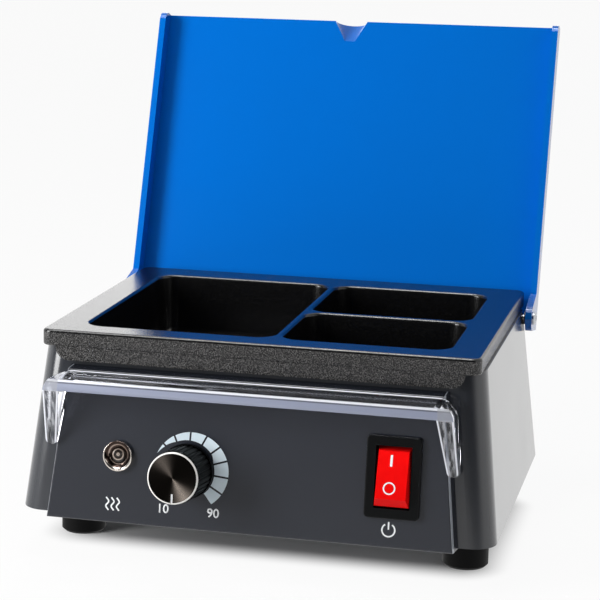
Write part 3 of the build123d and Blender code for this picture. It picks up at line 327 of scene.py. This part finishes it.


# Clear acrylic; its cut edges are milky, partly frosted and partly painted highlight, the lip has a band of
# painted highlight with a line of painted shade under it, and the hood's rear has a painted glow. Depth, half
# width and wall grow in straight lines from the cheek's tip to the hood, and a point is milky where it lies
# within a line's width of the front's outline.
def visorAcrylic():
    material, tree, shader, place = startFinish("polished_acrylic", visorFinish["clear"], 0.03,
                                                Transmission_Weight=1.0, IOR=1.49)
    hoodTop = (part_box("splash_visor")[1][2] - knobCentre[2]) / panelUp[2]
    low, high = (hoodTop - below * mm for below in visorFinish["below"])
    line = visorFinish["line"] * mm
    centred = addNode(tree, "VectorMath", {0: place, 1: tuple(knobCentre)}, operation="SUBTRACT")
    out = addNode(tree, "VectorMath", {0: centred, 1: tuple(panelOut)}, operation="DOT_PRODUCT")
    up = addNode(tree, "VectorMath", {0: centred, 1: tuple(panelUp)}, operation="DOT_PRODUCT")
    parts = addNode(tree, "SeparateXYZ", {0: place})
    beside = addNode(tree, "Math", {0: parts.outputs["X"]}, operation="ABSOLUTE")
    grown = {}
    for key, top in (("depth", high), ("half", hoodTop), ("wall", high)):
        first, last = (value * mm for value in visorFinish[key])
        grown[key] = addNode(tree, "MapRange", {"Value": up, "From Min": low, "From Max": top,
                                                "To Min": first, "To Max": last})
    inward = addNode(tree, "Math", {0: grown["depth"], 1: out}, operation="SUBTRACT")
    outer = addNode(tree, "Math", {0: grown["half"], 1: beside}, operation="SUBTRACT")
    inner = addNode(tree, "Math", {0: grown["wall"], 1: outer}, operation="SUBTRACT")
    side = addNode(tree, "Math", {0: outer, 1: inner}, operation="MINIMUM")
    near = {}
    for key, distance in (("frontFade", inward), ("sideFade", side), ("panelFade", out)):
        first, last = (share * line for share in visorFinish[key])
        near[key] = addNode(tree, "MapRange", {"Value": distance, "From Min": first, "From Max": last,
                                               "To Min": 1.0, "To Max": 0.0})
    drawn = addNode(tree, "Mapping", {"Vector": place, "Scale": visorFinish["streakStretch"]})
    streaks = addNode(tree, "TexNoise", {"Vector": drawn, "Detail": 2.0,
                                         "Scale": 1 / (visorFinish["streak"] * mm)})
    first, last = visorFinish["streakFrom"]
    broken = addNode(tree, "MapRange", {"Value": streaks, "From Min": first, "From Max": last,
                                        "To Max": visorFinish["streakMilkAndHighlight"]})
    lined = addNode(tree, "Math", {0: near["sideFade"], 1: broken}, operation="MAXIMUM")
    lip = addNode(tree, "MapRange", {"Value": up, "From Min": high - visorFinish["lipFade"] * mm,
                                     "From Max": high, "To Max": visorFinish["lipMilkAndHighlight"]})
    front = addNode(tree, "Math", {0: lined, 1: lip}, operation="MAXIMUM")
    frontMilkAndHighlight = addNode(tree, "Math", {0: front, 1: near["frontFade"]}, operation="MULTIPLY")
    atTop = addNode(tree, "Math", {0: up, 1: hoodTop - visorFinish["rearLine"] * mm},
                    operation="GREATER_THAN")
    rear = addNode(tree, "Math", {0: near["panelFade"], 1: atTop}, operation="MULTIPLY")
    milkAndHighlight = addNode(tree, "Math", {0: frontMilkAndHighlight, 1: rear}, operation="MAXIMUM")
    bandLow, bandHigh = (hoodTop - depth * mm for depth in visorFinish["bands"])
    lipTop = addNode(tree, "MapRange", {"Value": up, "From Min": bandLow, "From Max": bandHigh})
    onCheek = addNode(tree, "Math", {0: up, 1: high - visorFinish["lipStart"] * mm}, operation="LESS_THAN")
    paintedHighlightBand = addNode(tree, "Math", {0: lipTop, 1: onCheek}, operation="MAXIMUM")
    shadeDepth, shadeHalf = (value * mm for value in visorFinish["paintedShade"])
    paintedShade = addNode(tree, "Math", {0: up, 1: hoodTop - shadeDepth, 2: shadeHalf}, operation="COMPARE")
    edge = linear(visorFinish["edge"])
    bands = addNode(tree, "Mix", {0: paintedHighlightBand, 6: linear(visorFinish["lipLow"]), 7: edge}, data_type="RGBA")
    edgeTint = addNode(tree, "Mix", {0: paintedShade, 6: bands, 7: linear(visorFinish["lipShade"])}, data_type="RGBA")
    tint = addNode(tree, "Mix", {0: milkAndHighlight, 6: linear(visorFinish["clear"]), 7: edgeTint}, data_type="RGBA")
    paintedGlow = addNode(tree, "Mix", {0: rear, 6: linear("#000000"), 7: edge}, data_type="RGBA")
    clear = addNode(tree, "Math", {0: 1.0, 1: milkAndHighlight}, operation="SUBTRACT")
    plug(tree, shader, {"Base Color": tint, "Transmission Weight": clear, "Emission Color": paintedGlow,
                        "Emission Strength": visorFinish["glow"]})
    addGrain(tree, shader, place, visorFinish["flow"], visorFinish["flowHeight"], 1.0)
    return material


# Turned rings round the panel's normal through a centre: the cross product with that normal runs round the
# axis, its length is the radius, and the wave is a sine of the radius whose crests are a pitch apart.
def turnedRings(tree, place, centre, pitch):
    offset = addNode(tree, "VectorMath", {0: place, 1: tuple(centre)}, operation="SUBTRACT")
    around = addNode(tree, "VectorMath", {0: offset, 1: tuple(panelOut)}, operation="CROSS_PRODUCT")
    radius = addNode(tree, "VectorMath", {0: around}, operation="LENGTH")
    turned = addNode(tree, "Math", {0: radius, 1: 2 * math.pi / (pitch * mm)}, operation="MULTIPLY")
    wave = addNode(tree, "Math", {0: turned}, operation="SINE")
    return offset, around, radius, wave


lampFinish = {
    "rim": "#E4DCD4",
    # the bowl's dark brown is painted shade, its pale tone painted highlight rings
    "bowl": ("#3B302B", "#9A8A80"),
    # the lens's own smoked tone and its pale painted highlight rings
    "lens": ("#2B2420", "#CDBBAE"),
    "rimFrom": 5.35,
    "ringPitch": 1.7,
    "ringFrom": (0.2, 0.95),     # the wave's values between which the tones mix
    "ringHeight": 0.03,
}


# The lamp's brass ring is chromed bright at the rim; its turned bowl is painted dark brown as painted shade,
# and pale rings over the turned rings' bump are painted highlights, which the moulded lens repeats: the wave
# mixes two tones.
def ringedFinish(name, tones, roughness, **sockets):
    material, tree, shader, place = startFinish(name, lampFinish["rim"], roughness, **sockets)
    low, high = (np.array(corner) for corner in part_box("lamp_bezel"))
    radius, wave = turnedRings(tree, place, (low + high) / 2, lampFinish["ringPitch"])[2:]
    first, last = lampFinish["ringFrom"]
    ring = addNode(tree, "MapRange", {"Value": wave, "From Min": first, "From Max": last})
    bowl = addNode(tree, "Mix", {0: ring, 6: linear(tones[0]), 7: linear(tones[1])}, data_type="RGBA")
    rim = addNode(tree, "Math", {0: radius, 1: lampFinish["rimFrom"] * mm}, operation="GREATER_THAN")
    tint = addNode(tree, "Mix", {0: rim, 6: bowl, 7: linear(lampFinish["rim"])}, data_type="RGBA")
    bump = addNode(tree, "Bump", {"Height": wave, "Distance": lampFinish["ringHeight"] * mm})
    plug(tree, shader, {"Base Color": tint, "Normal": bump})
    return material


capFinish = {
    "black": "#13110F",
    # painted sheen: two lobes painted along one diameter
    "paintedSheen": "#9A8F86",
    # flat white painted highlight on the cut rim, which is bright bare metal
    "cutEdgeHighlight": "#F4F2EE",
    "edgeFrom": 9.5,             # the cut edge lies beyond this radius,
    "frontFrom": 20.7,           # and farther from the panel than this
    "groove": 0.3,
    "grooveDepth": 0.003,
    "paintedSheenAngle": -32.0,         # degrees from upright
    "paintedSheenNarrow": 15.0,
    "upperPaintedSheen": 0.35,
}


# Aluminium turned on a lathe and anodised black, with anisotropic gloss along the tool's rings; two lobes of
# painted sheen lie along one diameter, |cosine| to a power of the angle from it, the upper one dimmer, and
# the cut rim is painted flat white as a painted highlight.
def spunCap():
    material, tree, shader, place = startFinish("spun_anodised_aluminium", capFinish["black"], 0.24,
                                                Anisotropic=0.92, Anisotropic_Rotation=0.25)
    offset, around, radius, wave = turnedRings(tree, place, knobCentre, capFinish["groove"])
    outside = addNode(tree, "Math", {0: radius, 1: capFinish["edgeFrom"] * mm}, operation="GREATER_THAN")
    out = addNode(tree, "VectorMath", {0: offset, 1: tuple(panelOut)}, operation="DOT_PRODUCT")
    front = addNode(tree, "Math", {0: out, 1: capFinish["frontFrom"] * mm}, operation="GREATER_THAN")
    cutEdgeHighlight = addNode(tree, "Math", {0: outside, 1: front}, operation="MULTIPLY")
    lean = math.radians(capFinish["paintedSheenAngle"])
    upper = math.sin(lean) * sideways + math.cos(lean) * panelUp
    across = np.cross(upper, panelOut)
    flat = addNode(tree, "VectorMath", {0: around}, operation="NORMALIZE")
    spoke = addNode(tree, "VectorMath", {0: flat, 1: tuple(across)}, operation="DOT_PRODUCT")
    size = addNode(tree, "Math", {0: spoke}, operation="ABSOLUTE")
    lobe = addNode(tree, "Math", {0: size, 1: capFinish["paintedSheenNarrow"]}, operation="POWER")
    above = addNode(tree, "Math", {0: spoke, 1: 0.0}, operation="GREATER_THAN")
    dimmer = addNode(tree, "MapRange", {"Value": above, "To Min": 1.0, "To Max": capFinish["upperPaintedSheen"]})
    paintedSheen = addNode(tree, "Math", {0: lobe, 1: dimmer}, operation="MULTIPLY")
    face = addNode(tree, "Mix", {0: paintedSheen, 6: linear(capFinish["black"]), 7: linear(capFinish["paintedSheen"])},
                   data_type="RGBA")
    tint = addNode(tree, "Mix", {0: cutEdgeHighlight, 6: face, 7: linear(capFinish["cutEdgeHighlight"])}, data_type="RGBA")
    metal = addNode(tree, "Math", {0: 1.0, 1: cutEdgeHighlight}, operation="SUBTRACT")
    bump = addNode(tree, "Bump", {"Height": wave, "Distance": capFinish["grooveDepth"] * mm})
    plug(tree, shader, {"Base Color": tint, "Metallic": metal, "Normal": bump, "Tangent": around})
    return material


# Millimetres across, up and out from the knob's centre on the panel's face, to metres in the frame.
def onPanel(x, v, out=0.0):
    x, v, out = np.broadcast_arrays(x, v, out)
    offset = x[..., None] * sideways + v[..., None] * panelUp + out[..., None] * panelOut
    return knobCentre + offset * mm


def putMesh(name, points, faces, material, body):
    mesh = bpy.data.meshes.new(name)
    mesh.from_pydata(np.asarray(points).reshape(-1, 3).tolist(), [], faces.tolist())
    mesh.materials.append(material)
    piece = bpy.data.objects.new(name, mesh)
    bpy.context.scene.collection.objects.link(piece)
    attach(piece, body)
    return piece


# Quads over a grid of points stored row by row.
def gridFaces(rows, columns, start=0):
    corner = (np.arange(rows - 1)[:, None] * columns + np.arange(columns - 1)).ravel() + start
    return np.stack([corner, corner + 1, corner + columns + 1, corner + columns], axis=1)


# A flat strip: each point of the line moved to both sides, at right angles to the line's direction.
def ribbon(line, width):
    ahead = np.gradient(line, axis=0)
    side = np.stack([-ahead[:, 1], ahead[:, 0]], axis=1)
    side /= np.linalg.norm(side, axis=1)[:, None]
    across = np.array([-0.5, 0.5])[None, :, None] * width
    return line[:, None, :] + side[:, None, :] * across


inkLayer = {"lift": 0.02, "thickness": 0.03}


# Turns the faces of a flat print outwards and gives it the thickness of ink.
def thicken(piece, facing):
    mesh = piece.data
    normals = np.zeros(len(mesh.polygons) * 3)
    mesh.polygons.foreach_get("normal", normals)
    if (normals.reshape(-1, 3) @ facing).mean() < 0:
        mesh.flip_normals()
    thick = piece.modifiers.new("ink", "SOLIDIFY")
    thick.thickness = inkLayer["thickness"] * mm
    thick.offset = 1.0


# Flat grids of millimetres become printed ink of a few hundredths of a millimetre, which faces outwards.
def inkPrint(name, patches, material, body, lift=inkLayer["lift"], place=onPanel):
    points, faces, count = [], [], 0
    for patch in patches:
        rows, columns = patch.shape[:2]
        points.append(place(patch[..., 0], patch[..., 1], lift).reshape(-1, 3))
        faces.append(gridFaces(rows, columns, count))
        count += rows * columns
    thicken(putMesh(name, np.concatenate(points), np.concatenate(faces), material, body), panelOut)


recess = {
    "arm": 0.52,                 # shares of the screw head's radius
    "width": 0.15,
    "turn": 20.0,                # degrees
    "steps": 49,
    "faceDepth": 0.05,           # the corners this near to the farthest ones are the heads' end faces
    "apart": 14.0,               # a wider spread means more than one head
}


# Cross recesses of screw heads, drawn as thin dark prints of painted shade on the heads. The heads' end faces
# lie farthest along the screws' axis. The cross's outline is the farther of two bars' edges in each
# direction.
def crossRecesses(node, axis, body, material):
    mesh = frame["nodes"][node].data
    flat = np.zeros(len(mesh.vertices) * 3)
    mesh.vertices.foreach_get("co", flat)
    corners = flat.reshape(-1, 3)
    axis = np.array(axis, float)
    upright = np.array((0.0, 0.0, 1.0))
    side = sideways if abs(axis @ upright) > 0.9 else np.cross(axis, upright)
    side = side / np.linalg.norm(side)
    rise = np.cross(side, axis)
    far = corners @ axis
    face = corners[far > far.max() - recess["faceDepth"] * mm]
    heads = np.zeros(len(face), int)
    for weight, direction in ((1, side), (2, rise)):
        reach = face @ direction
        if np.ptp(reach) >= recess["apart"] * mm:
            heads += weight * (reach > (reach.min() + reach.max()) / 2)
    angle = np.linspace(0, 2 * math.pi, recess["steps"])
    tiny = 1e-9
    c, s = np.abs(np.cos(angle)) + tiny, np.abs(np.sin(angle)) + tiny
    turned = angle + math.radians(recess["turn"])
    ray = np.cos(turned)[:, None] * side + np.sin(turned)[:, None] * rise
    share = np.array([0.0, 0.5, 1.0])[None, :, None]
    for count, number in enumerate(np.unique(heads), 1):
        head = face[heads == number]
        centre = (head.min(axis=0) + head.max(axis=0)) / 2 + inkLayer["lift"] * mm * axis
        radius = np.ptp(head @ side) / 2
        arm, width = recess["arm"] * radius, recess["width"] * radius
        outline = np.maximum(np.minimum(arm / c, width / s), np.minimum(arm / s, width / c))
        points = centre + share * (outline[:, None] * ray)[:, None, :]
        faces = gridFaces(recess["steps"], 3)
        thicken(putMesh("%s_recess_%d" % (node, count), points, faces, material, body), axis)


edges = {
    "lid": 0.8,                  # radii
    "splash_visor": 0.7,
    "segments": 3,
    "merge": 0.002,              # corners nearer than this become one
    "flat": 0.5,                 # degrees: faces that meet at less than this are joined,
    "sharp": 28.0,               # and edges that turn by more than this are rounded
}


# A merged copy of a CAD node with its sharp edges rounded. A sheet's large faces shade flat up to their
# edges, and a clear moulding's edges each catch the light.
def softened(node, material, isSheet):
    source = frame["nodes"][node]
    mesh = source.data.copy()
    form = bmesh.new()
    form.from_mesh(mesh)
    bmesh.ops.remove_doubles(form, verts=form.verts, dist=edges["merge"] * mm)
    flat = math.radians(edges["flat"])
    bmesh.ops.dissolve_limit(form, angle_limit=flat, verts=form.verts, edges=form.edges)
    form.to_mesh(mesh)
    form.free()
    mesh.materials.clear()
    mesh.materials.append(material)
    mesh.polygons.foreach_set("use_smooth", np.full(len(mesh.polygons), True))
    piece = bpy.data.objects.new(node + "_finished", mesh)
    bpy.context.scene.collection.objects.link(piece)
    bevel = piece.modifiers.new("edges", "BEVEL")
    bevel.width = edges[node] * mm
    bevel.segments = edges["segments"]
    bevel.limit_method = "ANGLE"
    bevel.angle_limit = math.radians(edges["sharp"])
    bevel.harden_normals = not isSheet
    if isSheet:
        level = piece.modifiers.new("level_faces", "WEIGHTED_NORMAL")
        level.mode = "FACE_AREA"
        level.weight = 100           # the largest face alone sets the normal
    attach(piece, source["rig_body"])
    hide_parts(node)


dial = {
    "gaps": (-64.7, -45.3, -23.3, 2.8, 27.5, 51.0, 72.3, 95.6, 119.7, 141.5),    # degrees from the top
    "outerCentre": (1.5, 0.1),   # the outer circle isn't quite round the knob
    "outer": 15.2,
    "inner": ((-65, 13.8), (-22, 12.1), (53, 12.0), (73, 11.0), (142, 11.0)),    # degrees and radius
    "gap": 0.75,
    "steps": 13,
    "rings": 5,
}


# Each segment is a grid over angle and radius: from the inner radius at that angle to where the ray
# meets the outer circle, c.d + sqrt((c.d)^2 - c.c + R^2) for its centre c, radius R and direction d.
def dialScale(ink):
    patches = []
    innerAngles, innerRadii = np.array(dial["inner"]).T
    centre = np.array(dial["outerCentre"])
    share = np.linspace(0, 1, dial["rings"])[None, :]
    trim = np.linspace(1, -1, dial["steps"])[:, None] * dial["gap"] / 2
    for first, last in zip(dial["gaps"][:-1], dial["gaps"][1:]):
        degrees = np.linspace(first, last, dial["steps"])
        angle = np.radians(degrees)
        along = np.stack([np.sin(angle), np.cos(angle)], axis=1)
        inner = np.interp(degrees, innerAngles, innerRadii)
        reach = along @ centre
        outer = reach + np.sqrt(reach ** 2 - centre @ centre + dial["outer"] ** 2)
        radius = inner[:, None] * (1 - share) + outer[:, None] * share
        x = radius * along[:, :1] + trim * along[:, 1:]
        v = radius * along[:, 1:] - trim * along[:, :1]
        patches.append(np.stack([x, v], axis=2))
    inkPrint("dial_scale", patches, ink, "heater")


signs = {
    "numberSize": 5.0,
    "bolder": 0.07,
    "curveSteps": 6,
    "lowNumber": (-9.2, -15.9),      # places from the knob's centre
    "highNumber": (11.2, -16.0),
    "heatWaves": (-29.9, -15.7),
    "powerMark": (80.7, -16.2),
    "stroke": 0.6,
    "waveHalf": 2.6,
    "waveSway": 0.55,
    "halfWave": 1.9,
    "wavesAt": (-2.2, 0, 2.2),
    "waveSteps": 25,
    "circleRadius": 2.5,
    "circleFrom": (32, 328),         # degrees clockwise from the top
    "circleSteps": 41,
    "mark": (0.2, 3.2),              # lower and upper end of the stroke in the circle's gap
}


# A plain number: the letter curve is made a mesh, centred, then laid on the panel.
def dialNumber(text, name, centre, ink):
    curve = bpy.data.curves.new(name, "FONT")
    curve.body = text
    curve.size = signs["numberSize"]
    curve.align_x = "CENTER"
    curve.align_y = "CENTER"
    curve.resolution_u = signs["curveSteps"]
    curve.offset = signs["bolder"]
    holder = bpy.data.objects.new(name + "_curve", curve)
    bpy.context.scene.collection.objects.link(holder)
    bpy.context.view_layer.update()
    mesh = bpy.data.meshes.new_from_object(holder.evaluated_get(bpy.context.evaluated_depsgraph_get()))
    bpy.data.objects.remove(holder)
    flat = np.zeros(len(mesh.vertices) * 3)
    mesh.vertices.foreach_get("co", flat)
    x, v = flat.reshape(-1, 3)[:, :2].T
    mesh.vertices.foreach_set("co", onPanel(x + centre[0], v + centre[1], inkLayer["lift"]).ravel())
    mesh.update()
    mesh.materials.clear()
    mesh.materials.append(ink)
    piece = bpy.data.objects.new(name, mesh)
    bpy.context.scene.collection.objects.link(piece)
    thicken(piece, panelOut)
    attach(piece, "heater")


# Three upright sine waves side by side, the usual sign for heat.
def heatWaves(ink):
    height = np.linspace(-signs["waveHalf"], signs["waveHalf"], signs["waveSteps"])
    sway = signs["waveSway"] * np.sin(height * math.pi / signs["halfWave"])
    lines = [np.stack([sway + offset, height], axis=1) for offset in signs["wavesAt"]]
    patches = [ribbon(line, signs["stroke"]) + np.array(signs["heatWaves"]) for line in lines]
    inkPrint("heat_sign", patches, ink, "heater")


# An open circle with an upright stroke in its gap.
def powerMark(ink):
    angle = np.radians(np.linspace(*signs["circleFrom"], signs["circleSteps"]))
    circle = np.stack([np.sin(angle), np.cos(angle)], axis=1) * signs["circleRadius"]
    stroke = np.stack([np.zeros(2), np.array(signs["mark"])], axis=1)
    patches = [ribbon(line, signs["stroke"]) + np.array(signs["powerMark"]) for line in (circle, stroke)]
    inkPrint("power_sign", patches, ink, "heater")


rocker = {
    "tilt": 13.0,                # degrees
    "faceOut": 5.5,
    "across": -0.7,
    "barAt": 5.5,
    "barLength": 4.4,
    "barWidth": 0.9,
    "ringAt": -5.1,
    "ringRadius": 2.15,
    "ringWidth": 0.55,
    "ringSteps": 49,
}


# Millimetres across, up and out from the middle of the rocker's tilted face.
def onRocker(x, v, out=0.0):
    tilt = math.radians(rocker["tilt"])
    faceOut = math.cos(tilt) * panelOut + math.sin(tilt) * panelUp
    faceUp = math.cos(tilt) * panelUp - math.sin(tilt) * panelOut
    x, v, out = np.broadcast_arrays(x, v, out)
    centre = np.array(joints["rocker_tilt"]["pos_m"]) + rocker["faceOut"] * mm * faceOut
    offset = x[..., None] * sideways + v[..., None] * faceUp + out[..., None] * faceOut
    return centre + offset * mm


# A bar on the ON end and a ring on the OFF end.
def rockerMarks(ink):
    angle = np.radians(np.linspace(0, 360, rocker["ringSteps"]))
    ring = np.stack([np.sin(angle), np.cos(angle)], axis=1) * rocker["ringRadius"]
    half = rocker["barLength"] / 2
    bar = np.array([[0, rocker["barAt"] - half], [0, rocker["barAt"] + half]])
    patches = [ribbon(ring, rocker["ringWidth"]) + np.array([rocker["across"], rocker["ringAt"]]),
               ribbon(bar, rocker["barWidth"]) + np.array([rocker["across"], 0.0])]
    inkPrint("rocker_marks", patches, ink, "rocker", place=onRocker)


pointer = {"reach": 9.5, "length": 3.6, "width": 0.95, "front": 21.02}


# White paint that fills the groove in the cap, from its rim inwards.
def knobPointer(ink):
    line = np.array([[0, -pointer["reach"]], [0, -pointer["reach"] + pointer["length"]]])
    inkPrint("knob_pointer", [ribbon(line, pointer["width"])], ink, "knob", pointer["front"])


studio = {
    "floorSize": 9.0,
    "sky": 0.2,                  # light on the object from all round
    "front": (-0.2, -0.95, 0.25),    # the dark half of the room, behind the camera
    "frontDim": 0.03,
    "frontFade": 0.6,            # cosine of the angle from there within which it is darkest
    "softbox": {"towards": (-0.2, -0.12, 1.0), "edge": (0.92, 0.97), "strength": 8.0},   # seen in gloss only,
    "window": {"towards": (-0.32, 0.92, 0.21), "edge": (0.9, 0.975), "strength": 1.1},   # and so is this one
    "shadowHalf": (0.078, 0.042),    # the floor is darkest within these half widths,
    "shadowMiddle": (0.0, -0.012),
    "shadowFade": 0.022,         # and white that far outside them, but for this share of the lamps' shadow:
    "shadowShare": 0.06,
    "key": {"place": (-0.6, -0.52, 0.34), "aim": (0, 0, 0.1), "size": (0.32, 0.55), "power": 6.6},
    "top": {"place": (-0.1, 0.12, 1.0), "aim": (0, 0, 0.1), "size": (0.3, 0.12), "power": 2.0},
    "fill": {"place": (1.3, -0.7, 0.8), "aim": (0, 0, 0.1), "size": (0.6, 0.6), "power": 1.5},
}


def addLamp(name, settings):
    lamp = bpy.data.lights.new(name, "AREA")
    lamp.shape = "RECTANGLE"
    lamp.size, lamp.size_y = settings["size"]
    lamp.energy = settings["power"]
    holder = bpy.data.objects.new(name, lamp)
    aim = Vector(settings["aim"]) - Vector(settings["place"])
    turn = aim.to_track_quat("-Z", "Y").to_matrix().to_4x4()
    holder.matrix_world = Matrix.Translation(settings["place"]) @ turn
    bpy.context.scene.collection.objects.link(holder)


# Two switches: one for rays from the camera, one for rays that a glossy or clear piece sends on.
def rayKinds(tree):
    path = addNode(tree, "LightPath").outputs
    shiny = addNode(tree, "Math", {0: path["Is Glossy Ray"], 1: path["Is Transmission Ray"]},
                    operation="MAXIMUM")
    return path["Is Camera Ray"], shiny


# A white room whose front half is dark, so that glossy paint keeps its colour.
def addRoom():
    world = bpy.data.worlds.new("studio")
    bpy.context.scene.world = world
    world.use_nodes = True
    tree = world.node_tree
    tree.nodes.clear()
    fromCamera, shiny = rayKinds(tree)
    direction = addNode(tree, "TexCoord").outputs["Generated"]
    ahead = Vector(studio["front"]).normalized()
    towards = addNode(tree, "VectorMath", {0: direction, 1: tuple(ahead)}, operation="DOT_PRODUCT")
    mirrored = addNode(tree, "MapRange", {"Value": towards, "From Min": 0.0, "From Max": studio["frontFade"],
                                          "To Min": 1.0, "To Max": studio["frontDim"]},
                       interpolation_type="SMOOTHSTEP")
    for key in ("softbox", "window"):
        aim = Vector(studio[key]["towards"]).normalized()
        first, last = studio[key]["edge"]
        turned = addNode(tree, "VectorMath", {0: direction, 1: tuple(aim)}, operation="DOT_PRODUCT")
        bright = addNode(tree, "MapRange", {"Value": turned, "From Min": first, "From Max": last,
                                            "To Max": studio[key]["strength"]})
        mirrored = addNode(tree, "Math", {0: mirrored, 1: bright}, operation="ADD")
    unseen = addNode(tree, "Mix", {0: shiny, 2: studio["sky"], 3: mirrored})
    strength = addNode(tree, "Mix", {0: fromCamera, 2: unseen, 3: 1.0})
    sky = addNode(tree, "Background", {"Color": linear("#FFFFFF"), "Strength": strength})
    addNode(tree, "OutputWorld", {"Surface": sky})
    for name in ("key", "top", "fill"):
        addLamp(name + "_lamp", studio[name])


# The floor glows white but under the object: the glow's share rises with the distance outside a rectangle,
# length(max(|p - c| - h, 0)).
def addFloor():
    material = bpy.data.materials.new("white_floor")
    material.use_nodes = True
    tree = material.node_tree
    tree.nodes.clear()
    fromCamera, shiny = rayKinds(tree)
    paper = addNode(tree, "BsdfDiffuse", {"Color": linear("#F7F7F7")})
    glow = addNode(tree, "Emission", {"Color": linear("#FFFFFF"), "Strength": 1.0})
    place = addNode(tree, "TexCoord").outputs["Object"]
    middle, half = ((*studio[key], 0.0) for key in ("shadowMiddle", "shadowHalf"))
    offset = addNode(tree, "VectorMath", {0: place, 1: middle}, operation="SUBTRACT")
    away = addNode(tree, "VectorMath", {0: offset}, operation="ABSOLUTE")
    outside = addNode(tree, "VectorMath", {0: away, 1: half}, operation="SUBTRACT")
    clipped = addNode(tree, "VectorMath", {0: outside, 1: (0.0, 0.0, 0.0)}, operation="MAXIMUM")
    distance = addNode(tree, "VectorMath", {0: clipped}, operation="LENGTH")
    share = addNode(tree, "MapRange", {"Value": distance, "From Max": studio["shadowFade"],
                                       "To Max": 1 - studio["shadowShare"]}, interpolation_type="SMOOTHSTEP")
    seen = addNode(tree, "Math", {0: share, 1: fromCamera}, operation="MULTIPLY")
    factor = addNode(tree, "Math", {0: seen, 1: shiny}, operation="MAXIMUM")
    mixed = addNode(tree, "MixShader", {0: factor, 1: paper, 2: glow})
    addNode(tree, "OutputMaterial", {"Surface": mixed})
    side = studio["floorSize"] / 2
    corners = [(-side, -side, 0), (side, -side, 0), (side, side, 0), (-side, side, 0)]
    mesh = bpy.data.meshes.new("floor")
    mesh.from_pydata(corners, [], [(0, 1, 2, 3)])
    mesh.materials.append(material)
    floor = bpy.data.objects.new("floor", mesh)
    bpy.context.scene.collection.objects.link(floor)


addCamera()
addRoom()
addFloor()
print("camera and studio set")

lidPaint = enamel("sprayed_blue_enamel", lidFinish, Specular_IOR_Level=0.3)
housingPaint = enamel("gloss_grey_shell", housingFinish, Coat_Weight=0.6, Coat_Roughness=0.12)
panelPaint = panelSatin()
casting = castCoat()
steel = platedMetal("zinc_plated_steel", "#C9CCCF", "#AEB1B5", 0.3)
sheet = plainMoulding("grey_painted_steel", "#3A3C40", "#34363A", 0.45, 1.2, 0.01)
rubber = plainMoulding("black_rubber", "#050505", "#09090A", 0.55, 0.5, 0.02, Specular_IOR_Level=0.1)
acrylic = visorAcrylic()
lens = ringedFinish("smoked_clear_lens", lampFinish["lens"], 0.08, Transmission_Weight=0.4, IOR=1.5)
lampRing = ringedFinish("chromed_brass_bowl", lampFinish["bowl"], 0.16, Metallic=1.0)
knobPlastic = plainMoulding("black_moulded_knob", "#030303", "#070708", 0.35, 0.5, 0.008,
                            Specular_IOR_Level=0.02)
switchPlastic = plainMoulding("black_switch_nylon", "#060809", "#040506", 0.3, 0.6, 0.006,
                              Specular_IOR_Level=0.15)
rockerRed = plainMoulding("red_polycarbonate", "#F50E0E", "#EC0B0B", 0.22, 1.5, 0.003,
                          Specular_IOR_Level=0.06)
brass = platedMetal("contact_brass", "#D9B76A", "#C9A558", 0.25)
phenolic = plainMoulding("brown_black_phenolic", "#1B1713", "#241E18", 0.4)
nylon = plainMoulding("black_nylon", "#111112", "#18181A", 0.45)
board = plainMoulding("green_board", "#1B5A38", "#164E30", 0.35, 2.0, 0.01)
relayCase = plainMoulding("blue_relay_case", "#1F4FA8", "#1A4697", 0.3)
blockGreen = plainMoulding("green_terminal_block", "#3E9A4C", "#358A43", 0.4)
fibre = plainMoulding("ceramic_fibre", "#DAD7CE", "#CFCBC0", 0.9, 0.6, 0.2)
foil = platedMetal("mica_foil", "#B99B6A", "#A68857", 0.45)
capMetal = spunCap()
# painted shade: dark prints where the screw heads' recesses lie
recessShade = plainMoulding("painted_recess_shade", "#0E0E0F", "#171719", 0.6)
whiteInk = plainMoulding("white_screen_ink", "#F2F4F5", "#ECEEF0", 0.5, 0.3, 0.002)
scaleInk = plainMoulding("pale_blue_screen_ink", "#DCE8EE", "#CFDFE8", 0.45, 0.3, 0.002)

nodeFinishes = {
    "feet": rubber, "foot_washers": steel, "tie_screws": steel, "support_posts": steel, "base_plate": sheet,
    "housing": housingPaint, "well_plate": casting, "heater_element": foil, "insulation_pad": fibre,
    "clamp_plate": sheet, "clamp_screws": steel, "thermal_cutout": phenolic, "cutout_screws": steel,
    "temperature_sensor": steel, "front_panel": panelPaint, "panel_screws": steel, "splash_visor": acrylic,
    "lamp_bezel": lampRing, "lamp_lens": lens, "lamp_body": phenolic, "lamp_nut": steel,
    "potentiometer": phenolic, "pot_nut": steel, "pot_shaft": steel, "knob_body": knobPlastic,
    "knob_cap": capMetal, "switch_body": switchPlastic, "switch_rocker": rockerRed, "switch_blades": brass,
    "power_inlet": switchPlastic, "inlet_pins": brass, "inlet_screws": steel, "board_standoffs": brass,
    "circuit_board": board, "board_screws": steel, "relay": relayCase, "terminal_block": blockGreen,
    "lid": lidPaint, "hinge_screws": steel, "hinge_washers": nylon, "hinge_nuts": steel,
}
for node, material in nodeFinishes.items():
    mesh = frame["nodes"][node].data
    mesh.materials.clear()
    mesh.materials.append(material)
print("finishes on", len(nodeFinishes), "nodes")

softened("lid", lidPaint, True)
softened("splash_visor", acrylic, False)
dialScale(scaleInk)
dialNumber("10", "low_number", signs["lowNumber"], whiteInk)
dialNumber("90", "high_number", signs["highNumber"], whiteInk)
heatWaves(whiteInk)
powerMark(whiteInk)
rockerMarks(whiteInk)
knobPointer(whiteInk)
crossRecesses("hinge_screws", (1, 0, 0), "heater", recessShade)
crossRecesses("hinge_screws", (-1, 0, 0), "heater", recessShade)
crossRecesses("inlet_screws", panelOut * (-1, -1, 1), "heater", recessShade)    # the back leans likewise
crossRecesses("tie_screws", (0, 0, -1), "heater", recessShade)
print("prints and edges made")

bpy.context.scene.view_settings.view_transform = "Standard"
